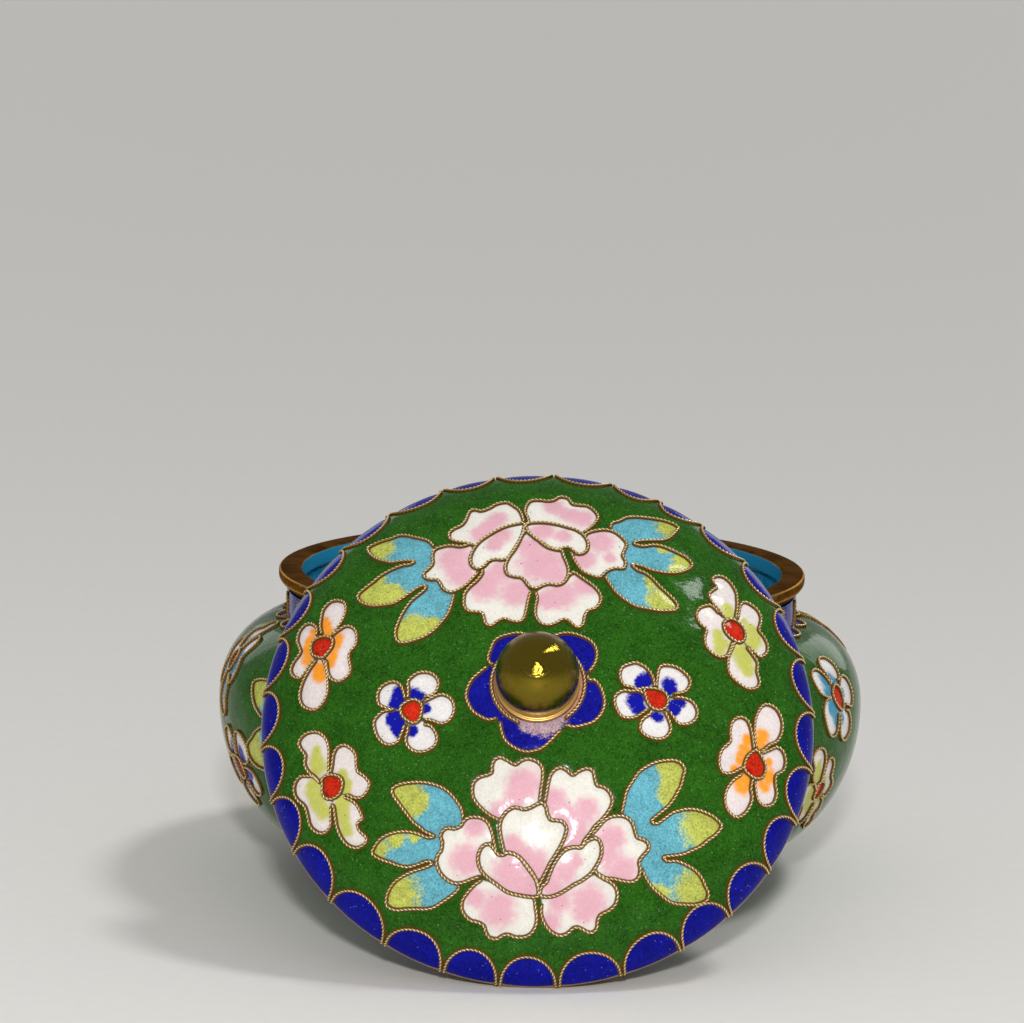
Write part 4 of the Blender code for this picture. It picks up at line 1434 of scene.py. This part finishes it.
@dataclass
class EnamelledWall:
    """A turned copper wall with its enamel, its lining and the wires between its cells.

    The outside begins at a length along the section, and may run up the wall or down it. The wall is
    bare metal between two lengths past that start. The sizes of the sinking are in millimetres.
    """

    name: str
    wall: Wall
    section: list[Point]
    outside_from: float
    runs_up: bool
    steps: int
    bare: tuple[float, float] = (0.0, 0.0)
    sink: float = 0.15
    sink_from: float = 0.2
    sink_over: float = 1.0

    def build(self, groups: dict[str, tuple[Drawing, ...]], wires: TwistedWire,
              place: Matrix) -> list[bpy.types.Object]:
        """Turn the wall, bend its wires and fill its cells.

        Args:
            groups: The drawings, gathered by the piece that their wires make.
            wires: The wire to use.
            place: Matrix from the wall's own axes to the frame.

        Returns:
            The wall first, and then the wire pieces.
        """
        piece = turned(self.name, self.section, self.steps, place)
        along = kept(piece, "along") - self.outside_from
        outside = (along >= -MERGE) & (along <= self.wall.length + MERGE)
        arc = self.wall.length - along if self.runs_up else along
        local = local_corners(piece, place)
        turn = np.arctan2(local[:, 1], local[:, 0])
        skin = EnamelSkin(self.wall, Glaze.GROUND, arc, turn)
        pieces = [piece]
        every_bend = []
        for name, drawings in groups.items():
            bends = []
            for drawing in drawings:
                skin.lay(drawing)
                bends += [wires.bend(self.wall, drawing, cell) for cell in drawing.cells]
            pieces.append(wires.build(name, bends))
            every_bend += bends
        inside = np.flatnonzero(~outside)
        skin.fill(inside, Glaze.LINING.value, np.zeros(len(inside)))
        middles = point_tree(np.concatenate([bend.points for bend in every_bend]))
        gap = np.array([middles.find(corner)[2] for corner in corners_of(piece)]) / MM
        gap[inside] = FAR
        bare = (along > self.bare[0]) & (along < self.bare[1])
        self.settle(piece, outside & ~bare, arc, turn, gap)
        layers = {"tone": skin.tone, "second": skin.second, "speck": skin.speck, "gap": gap,
                  "bare": bare.astype(float)}
        for layer, values in layers.items():
            store(piece, layer, values)
        return pieces

    def settle(self, piece: bpy.types.Object, chosen: np.ndarray, arc: np.ndarray,
               turn: np.ndarray, gap: np.ndarray) -> None:
        """Let the enamel swell between the wires, and sink a little beside them.

        Args:
            piece: The wall.
            chosen: Which of its vertices are enamelled outside.
            arc: Length along the wall of each vertex.
            turn: Turn of each vertex about the wall's axis.
            gap: Distance of each vertex from the nearest wire's middle, in millimetres.
        """
        depth = self.sink * np.exp(-np.clip(gap - self.sink_from, 0.0, None) / self.sink_over)
        places = corners_of(piece)
        places[chosen] = self.wall.points(arc[chosen], turn[chosen], -depth[chosen])
        piece.data.vertices.foreach_set("co", places.ravel())
        piece.data.update()


@dataclass
class Lid:
    """The domed lid, which leans on the jar with its brass ball towards the front."""

    radius: float
    height: float = 14.25
    power: float = 1.8
    wall: float = 1.2
    seat: float = 6.3
    tilt: float = 35.54
    edge_rounding: float = 0.3
    edge_bare: float = 0.25
    rings: int = 146
    lining_rings: int = 12
    steps: int = 560
    collar_radius: float = 35.2
    collar_wall: float = 0.8
    collar_top: float = 4.3
    collar_depth: float = 3.3
    collar_unworn: float = 0.3
    collar_rounding: float = 0.25
    collar_steps: int = 256
    washer_ledge: Point = (5.78, 0.55)
    washer_neck: Point = (5.31, 1.05)
    washer_rounding: float = 0.14
    ball: float = 5.64
    ball_flat: float = 1.9
    ball_rings: int = 56
    knob_steps: int = 160
    line_steps: int = 700

    def place(self) -> Matrix:
        """Stand the lid on its edge, leaning back on the jar.

        Returns:
            The matrix from the lid's own axes to the frame.
        """
        tilt = math.radians(self.tilt)
        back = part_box("lid_dome")[1].y
        middle = Vector((0.0, back - self.radius * MM * math.sin(tilt),
                         self.radius * MM * math.cos(tilt)))
        return Matrix.Translation(middle) @ Matrix.Rotation(math.pi / 2 - tilt, 4, "X")

    def dome(self, inset: float, smallest: float, steps: int) -> np.ndarray:
        """Return the dome's line from near its axis out to its edge."""
        size = (self.radius - inset, self.height - inset)
        return squared_ellipse((0.0, 0.0), size, self.power, smallest, steps)

    def outside(self) -> Wall:
        """Return the outer line, with its flat seat for the washer."""
        line = self.dome(0.0, self.seat, self.line_steps)
        return Wall(np.concatenate(([(0.0, line[0, 1])], line)), self.place())

    def scallops(self) -> tuple[Cell, ...]:
        """Draw the scallops round the edge.

        Returns:
            A cell for each, an arch whose feet reach the edge.
        """
        edge = self.outside().length
        cells = []
        turns = SCALLOP_TURNS
        for index, middle in enumerate(turns):
            before = (middle - turns[index - 1]) % 360 / 2
            after = (turns[(index + 1) % len(turns)] - middle) % 360 / 2
            line = []
            for step in range(SCALLOP_STEPS + 1):
                angle = math.pi * step / SCALLOP_STEPS
                width = before if angle > math.pi / 2 else after
                turn = math.radians(middle + (width - SCALLOP_GAP) * math.cos(angle))
                arc = edge - SCALLOP_FOOT - SCALLOP_DEPTH * math.sin(angle) ** ARCH_POWER
                line.append((arc * math.cos(turn), arc * math.sin(turn)))
            beyond = [(x * SCALLOP_BEYOND, y * SCALLOP_BEYOND) for x, y in (line[-1], line[0])]
            cells.append(Cell(tuple(line), Glaze.BLUE, (), tuple(beyond)))
        return tuple(cells)

    def medallion(self) -> tuple[Cell, ...]:
        """Draw the middle of the lid.

        Returns:
            The blue lobes round the washer, and the pale enamel under it in its ring of wire.
        """
        following = MEDALLION_LOBES[1:] + MEDALLION_LOBES[:1]
        lobes = tuple(Cell(line, Glaze.SPILLED, SPILL, (after[0], MEDALLION))
                      for line, after in zip(MEDALLION_LOBES, following))
        start, end = RING_OPEN
        size = (RING_RADIUS, RING_RADIUS)
        ring = ellipse(MEDALLION, size, start, end, RING_STEPS)
        covered = ellipse(MEDALLION, size, end, start + 360.0, RING_COVERED_STEPS)
        return lobes + (Cell(tuple(ring), Glaze.SEAT, SPILL, tuple(covered[1:-1])),)

    def build_dome(self) -> None:
        """Build the enamelled dome and its wires."""
        wall = self.outside()
        lip = self.edge_rounding
        outer = [point for point in wall.section(self.rings) if point[1] > lip]
        lining = self.dome(self.wall, 0.0, self.lining_rings)[::-1]
        inner = [tuple(point) for point in lining if point[1] > lip]
        inner[-1] = (0.0, self.height - self.wall)
        edge = eased([outer[-1], (self.radius, 0.0), (self.radius - self.wall, 0.0), inner[0]], lip)
        made = EnamelledWall(
            "lid_enamel", wall, outer + edge[1:-1] + inner, outside_from=0.0, runs_up=False,
            steps=self.steps,
            bare=(wall.length - lip - self.edge_bare, wall.length + self.wall + lip),
        )
        flowers = Drawing(sum((flower.cells() for flower in SMALL_FLOWERS), []))
        groups = {
            "lid_wires_peonies": (Drawing(LOWER_LEAVES + LOWER_PEONY),
                                  Drawing(UPPER_LEAVES + UPPER_PEONY)),
            "lid_wires_flowers": (flowers, Drawing(self.scallops()), Drawing(self.medallion())),
        }
        enamel, *wires = made.build(groups, TwistedWire(), self.place())
        dress(enamel, FiredEnamel().material("enamel_lid"), "lid_dome")
        for piece in wires:
            dress(piece, GiltWire().material(piece.name))

    def build_collar(self) -> None:
        """Build the copper collar behind the dome."""
        outer, inner = self.collar_radius, self.collar_radius - self.collar_wall
        middle = (inner, (self.collar_top - self.collar_depth) / 2)
        section = [middle, (inner, -self.collar_depth), (outer, -self.collar_depth),
                   (outer, self.collar_top), (inner, self.collar_top), middle]
        piece = turned("lid_collar_ring", eased(section, self.collar_rounding), self.collar_steps,
                       self.place())
        copper = TurnedCopper(lip=outer + self.collar_unworn)
        dress_copper(piece, self.place(), copper, "lid_collar")

    def build_knob(self) -> None:
        """Build the stepped washer and the ball on it."""
        bottom = self.outside().line[0, 1] + TOUCH_GAP
        (ledge, ledge_height), (neck, height) = self.washer_ledge, self.washer_neck
        step, top = bottom + ledge_height, bottom + height
        washer = [(0.0, bottom), (ledge, bottom), (ledge, step), (neck, step), (neck, top),
                  (0.0, top)]
        piece = turned("washer_ring", eased(washer, self.washer_rounding), self.knob_steps,
                       self.place())
        finish = PolishedBrass(bright=shade(206, 168, 98), dull=shade(180, 136, 72), depth=0.004,
                               roughness=0.32)
        dress(piece, finish.material("brass_washer"), "knob_washer")
        flat = top + TOUCH_GAP
        centre = (0.0, flat + self.ball_flat)
        lowest = -math.degrees(math.asin(self.ball_flat / self.ball))
        ball = ellipse(centre, (self.ball, self.ball), lowest, 90.0, self.ball_rings)
        section = [(0.0, flat)] + ball[:-1] + [(0.0, centre[1] + self.ball)]
        piece = turned("knob_ball", section, self.knob_steps, self.place())
        dress(piece, PolishedBrass().material("brass_knob"), "knob")

    def build(self) -> None:
        """Build the lid and what is on it."""
        self.build_dome()
        self.build_collar()
        self.build_knob()


@dataclass
class Jar:
    """The low round jar on its copper foot, with a copper rim round its mouth.

    The lining's enamel reaches over the rim's inner face, out from its edge and up to near its top.
    """

    belly: float
    floor: float
    neck_top: float
    rim_radius: float
    foot_radius: float
    belly_height: float = 26.2
    neck: float = 37.9
    shoulder: float = 35.1
    shoulder_top: float = 38.6
    shoulder_power: float = 2.2
    floor_radius: float = 30.1
    wall: float = 1.5
    rings: int = 128
    lining_rings: int = 10
    steps: int = 640
    top: float = 45.8
    rim_width: float = 3.5
    rim_lip: float = 1.4
    foot_top: float = 4.3
    foot_width: float = 2.2
    foot_flare: float = 1.1
    rim_seam: float = 0.6
    rim_lined: Point = (0.1, 0.3)
    rim_rounding: float = 0.5
    rim_steps: int = 320
    foot_rounding: float = 0.4
    foot_steps: int = 256
    line_steps: int = 350

    def place(self) -> Matrix:
        """Return the matrix from the jar's own axes to the frame."""
        low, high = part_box("jar_body")
        return Matrix.Translation(((low.x + high.x) / 2, (low.y + high.y) / 2, 0.0))

    def line(self, inset: float, steps: int) -> list[Point]:
        """Return the wall's line.

        Args:
            inset: How far it lies inside the outer face.
            steps: Pieces of the shoulder, and of the part under the belly.

        Returns:
            Its points from the top of the neck down to the floor.
        """
        neck = self.neck - inset
        size = (self.belly - self.shoulder - inset, self.shoulder_top - self.belly_height - inset)
        shoulder = squared_ellipse((self.shoulder, self.belly_height), size, self.shoulder_power,
                                   neck, steps)
        under_size = (self.belly - self.floor_radius - inset,
                      self.belly_height - self.floor - inset)
        under = ellipse((self.floor_radius, self.belly_height), under_size, 0.0, -90.0, steps)
        return [(neck, self.neck_top)] + [tuple(point) for point in shoulder] + under[1:]

    def outside(self) -> Wall:
        """Return the outer line of the wall."""
        return Wall(np.array(self.line(0.0, self.line_steps)), self.place())

    def arches(self, height: float, depth: float, turn: float) -> tuple[Drawing, ...]:
        """Draw a band of arches round the wall.

        Args:
            height: Height of their feet along the wall.
            depth: How far they hang down, or stand up if it is negative.
            turn: Turn of the first arch from the front, in degrees.

        Returns:
            A drawing for each arch.
        """
        wall = self.outside()
        half = math.pi / ARCH_COUNT * float(wall.radius(wall.length - height)) - ARCH_GAP
        line = []
        for step in range(SCALLOP_STEPS + 1):
            angle = math.pi * step / SCALLOP_STEPS
            line.append((half * math.cos(angle), -depth * math.sin(angle) ** ARCH_POWER))
        beyond = tuple((line[end][0], depth * ARCH_BEYOND) for end in (-1, 0))
        cell = Cell(tuple(line), Glaze.BLUE, (), beyond)
        turns = [math.radians(turn + 360 * index / ARCH_COUNT - 90) for index in range(ARCH_COUNT)]
        return tuple(Drawing((cell,), turn=at, height=height) for at in turns)

    def build_body(self) -> None:
        """Build the enamelled body and its wires."""
        wall = self.outside()
        outer = wall.section(self.rings)[::-1]
        inner = self.line(self.wall, self.lining_rings)
        inner_floor = (0.0, self.floor + self.wall)
        section = [(0.0, self.floor)] + outer + inner + [inner_floor]
        made = EnamelledWall("jar_enamel", wall, section, outside_from=self.floor_radius,
                             runs_up=True, steps=self.steps)
        leaves = UPPER_LEAVES + UPPER_PEONY
        peonies = tuple(
            Drawing(leaves, PEONY_MIDDLE, PEONY_SCALE, math.radians(turn - 90), PEONY_HEIGHT)
            for turn in PEONY_TURNS)
        flowers = []
        for half in (0.0, 180.0):
            for index, glaze, turn, height, scale in JAR_FLOWERS:
                flower = SMALL_FLOWERS[index]
                painted = replace(flower, glaze=glaze)
                flowers.append(Drawing(tuple(painted.cells()), flower.middle, scale,
                                       math.radians(turn + half - 90), height))
        neck_arches = self.arches(wall.length - NECK_ARCHES_BELOW_TOP, NECK_ARCHES_DEPTH,
                                  NECK_ARCHES_TURN)
        foot_arches = self.arches(FOOT_ARCHES_HEIGHT, FOOT_ARCHES_DEPTH, 0.0)
        groups = {
            "jar_wires_peonies": peonies,
            "jar_wires_flowers": tuple(flowers),
            "jar_wires_bands": neck_arches + foot_arches,
        }
        enamel, *wires = made.build(groups, TwistedWire(), self.place())
        dress(enamel, FiredEnamel().material("enamel_jar"), "jar_body")
        for piece in wires:
            dress(piece, GiltWire().material(piece.name))

    def build_rim(self) -> None:
        """Build the copper rim: a flat top, a round lip and a tucked underside."""
        outer, inner = self.rim_radius, self.rim_radius - self.rim_width
        under = self.neck_top + TOUCH_GAP
        middle = (inner + self.rim_seam, under)
        section = [middle, (inner, under), (inner, self.top), (outer, self.top),
                   (outer, self.top - self.rim_lip), (self.neck, under), middle]
        piece = turned("mouth_ring", eased(section, self.rim_rounding, 5), self.rim_steps,
                       self.place())
        lined = (inner + self.rim_lined[0], self.top - self.rim_lined[1])
        dress_copper(piece, self.place(), TurnedCopper(lip=outer), "mouth_rim", lined)

    def build_foot(self) -> None:
        """Build the copper foot ring, which flares to the edge it stands on."""
        stand, top = self.foot_radius, self.foot_radius - self.foot_flare
        middle = (top - self.foot_width / 2, self.foot_top)
        section = [middle, (top, self.foot_top), (stand, 0.0), (stand - self.foot_width, 0.0),
                   (top - self.foot_width, self.foot_top), middle]
        piece = turned("foot_band", eased(section, self.foot_rounding, 4), self.foot_steps,
                       self.place())
        dress_copper(piece, self.place(), TurnedCopper(lip=stand), "foot_ring")

    def build(self) -> None:
        """Build the jar and its rings."""
        self.build_body()
        self.build_rim()
        self.build_foot()


@dataclass(frozen=True)
class Daylight:
    """Soft light from far away: where it comes from, its spread in degrees and its power."""

    name: str
    towards: Point3
    spread: float
    power: float


@dataclass
class Studio:
    """The floor, the soft lights and the camera of the photograph.

    The floor and the key light are in metres, the camera's stand and sensor in millimetres.
    """

    ground: float = 30.0
    focal_pixels: float = 3650.0
    image_width: float = 1024.0
    sensor: float = 36.0
    stand: tuple[float, float, float] = (3.459, -526.5, 140.5)
    pitch: float = 9.164
    yaw: float = -0.857
    roll: float = 0.816
    room_colour: tuple[float, float, float, float] = (1.0, 0.99, 0.97, 1.0)
    room_power: float = 0.34
    key_place: Point3 = (0.01, -0.62, 0.30)
    key_aim: Point3 = (0.0, -0.03, 0.03)
    key_size: float = 0.045
    key_power: float = 2.4
    daylights: tuple[Daylight, ...] = (
        Daylight("window", (0.48, 0.07, 0.87), 10.0, 0.8),
        Daylight("back_right", (0.41, 0.88, 0.24), 22.0, 0.14),
        Daylight("back_left", (-0.41, 0.88, 0.24), 22.0, 0.1),
    )

    def build_floor(self) -> None:
        """Lay a wide pale floor."""
        bpy.ops.object.select_all(action="DESELECT")
        bpy.ops.mesh.primitive_grid_add(x_subdivisions=8, y_subdivisions=8, size=self.ground)
        floor = bpy.context.object
        floor.name = "floor"
        floor.data.materials.append(PaleGround().material("pale_ground"))

    def build_camera(self) -> None:
        """Set the camera where the photograph was taken from."""
        pitch, yaw, roll = (math.radians(angle) for angle in (self.pitch, self.yaw, self.roll))
        ahead = Vector((math.sin(yaw) * math.cos(pitch), math.cos(yaw) * math.cos(pitch),
                        -math.sin(pitch)))
        level = ahead.cross(Vector((0.0, 0.0, 1.0))).normalized()
        upright = level.cross(ahead)
        right = math.cos(roll) * level + math.sin(roll) * upright
        up = math.cos(roll) * upright - math.sin(roll) * level
        turn = Matrix((right, up, -ahead)).transposed()
        data = bpy.data.cameras.new("camera")
        data.sensor_width = self.sensor
        data.lens = self.focal_pixels / self.image_width * self.sensor
        data.clip_start = 0.01
        camera = bpy.data.objects.new("camera", data)
        bpy.context.collection.objects.link(camera)
        camera.matrix_world = Matrix.Translation(Vector(self.stand) * MM) @ turn.to_4x4()
        bpy.context.scene.camera = camera

    def add_key(self) -> None:
        """Hang the square soft light over the camera and point it at the jar."""
        data = bpy.data.lights.new("key", "AREA")
        data.size = self.key_size
        data.energy = self.key_power
        light = bpy.data.objects.new("key", data)
        bpy.context.collection.objects.link(light)
        light.location = self.key_place
        ahead = Vector(self.key_aim) - Vector(self.key_place)
        light.rotation_euler = ahead.to_track_quat("-Z", "Y").to_euler()

    def add_daylight(self, daylight: Daylight) -> None:
        """Let soft light fall from a direction, as through a far window.

        Args:
            daylight: The light to add.
        """
        data = bpy.data.lights.new(daylight.name, "SUN")
        data.angle = math.radians(daylight.spread)
        data.energy = daylight.power
        light = bpy.data.objects.new(daylight.name, data)
        bpy.context.collection.objects.link(light)
        light.rotation_euler = Vector(daylight.towards).to_track_quat("Z", "Y").to_euler()

    def build_lights(self) -> None:
        """Light the jar softly from just above the camera, from the right and from behind."""
        world = bpy.data.worlds.new("room")
        world.use_nodes = True
        room = world.node_tree.nodes["Background"]
        room.inputs["Color"].default_value = self.room_colour
        room.inputs["Strength"].default_value = self.room_power
        bpy.context.scene.world = world
        self.add_key()
        for daylight in self.daylights:
            self.add_daylight(daylight)
        bpy.context.scene.view_settings.view_transform = "Standard"

    def build(self) -> None:
        """Set the scene round the finished jar."""
        self.build_floor()
        self.build_camera()
        self.build_lights()


def half_width(node: str) -> float:
    """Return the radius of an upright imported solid, in millimetres."""
    low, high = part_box(node)
    return (high.x - low.x) / 2 / MM


def main() -> None:
    """Build the jar, its lid and the studio round them."""
    logging.basicConfig(level=logging.INFO, format="%(name)s %(message)s")
    body_low, body_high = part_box("jar_body")
    jar = Jar(belly=half_width("jar_body"), floor=body_low.z / MM, neck_top=body_high.z / MM,
              rim_radius=half_width("mouth_rim"), foot_radius=half_width("foot_ring"))
    jar.build()
    Lid(radius=half_width("lid_dome")).build()
    Studio().build()


if __name__ == "__main__":
    main()
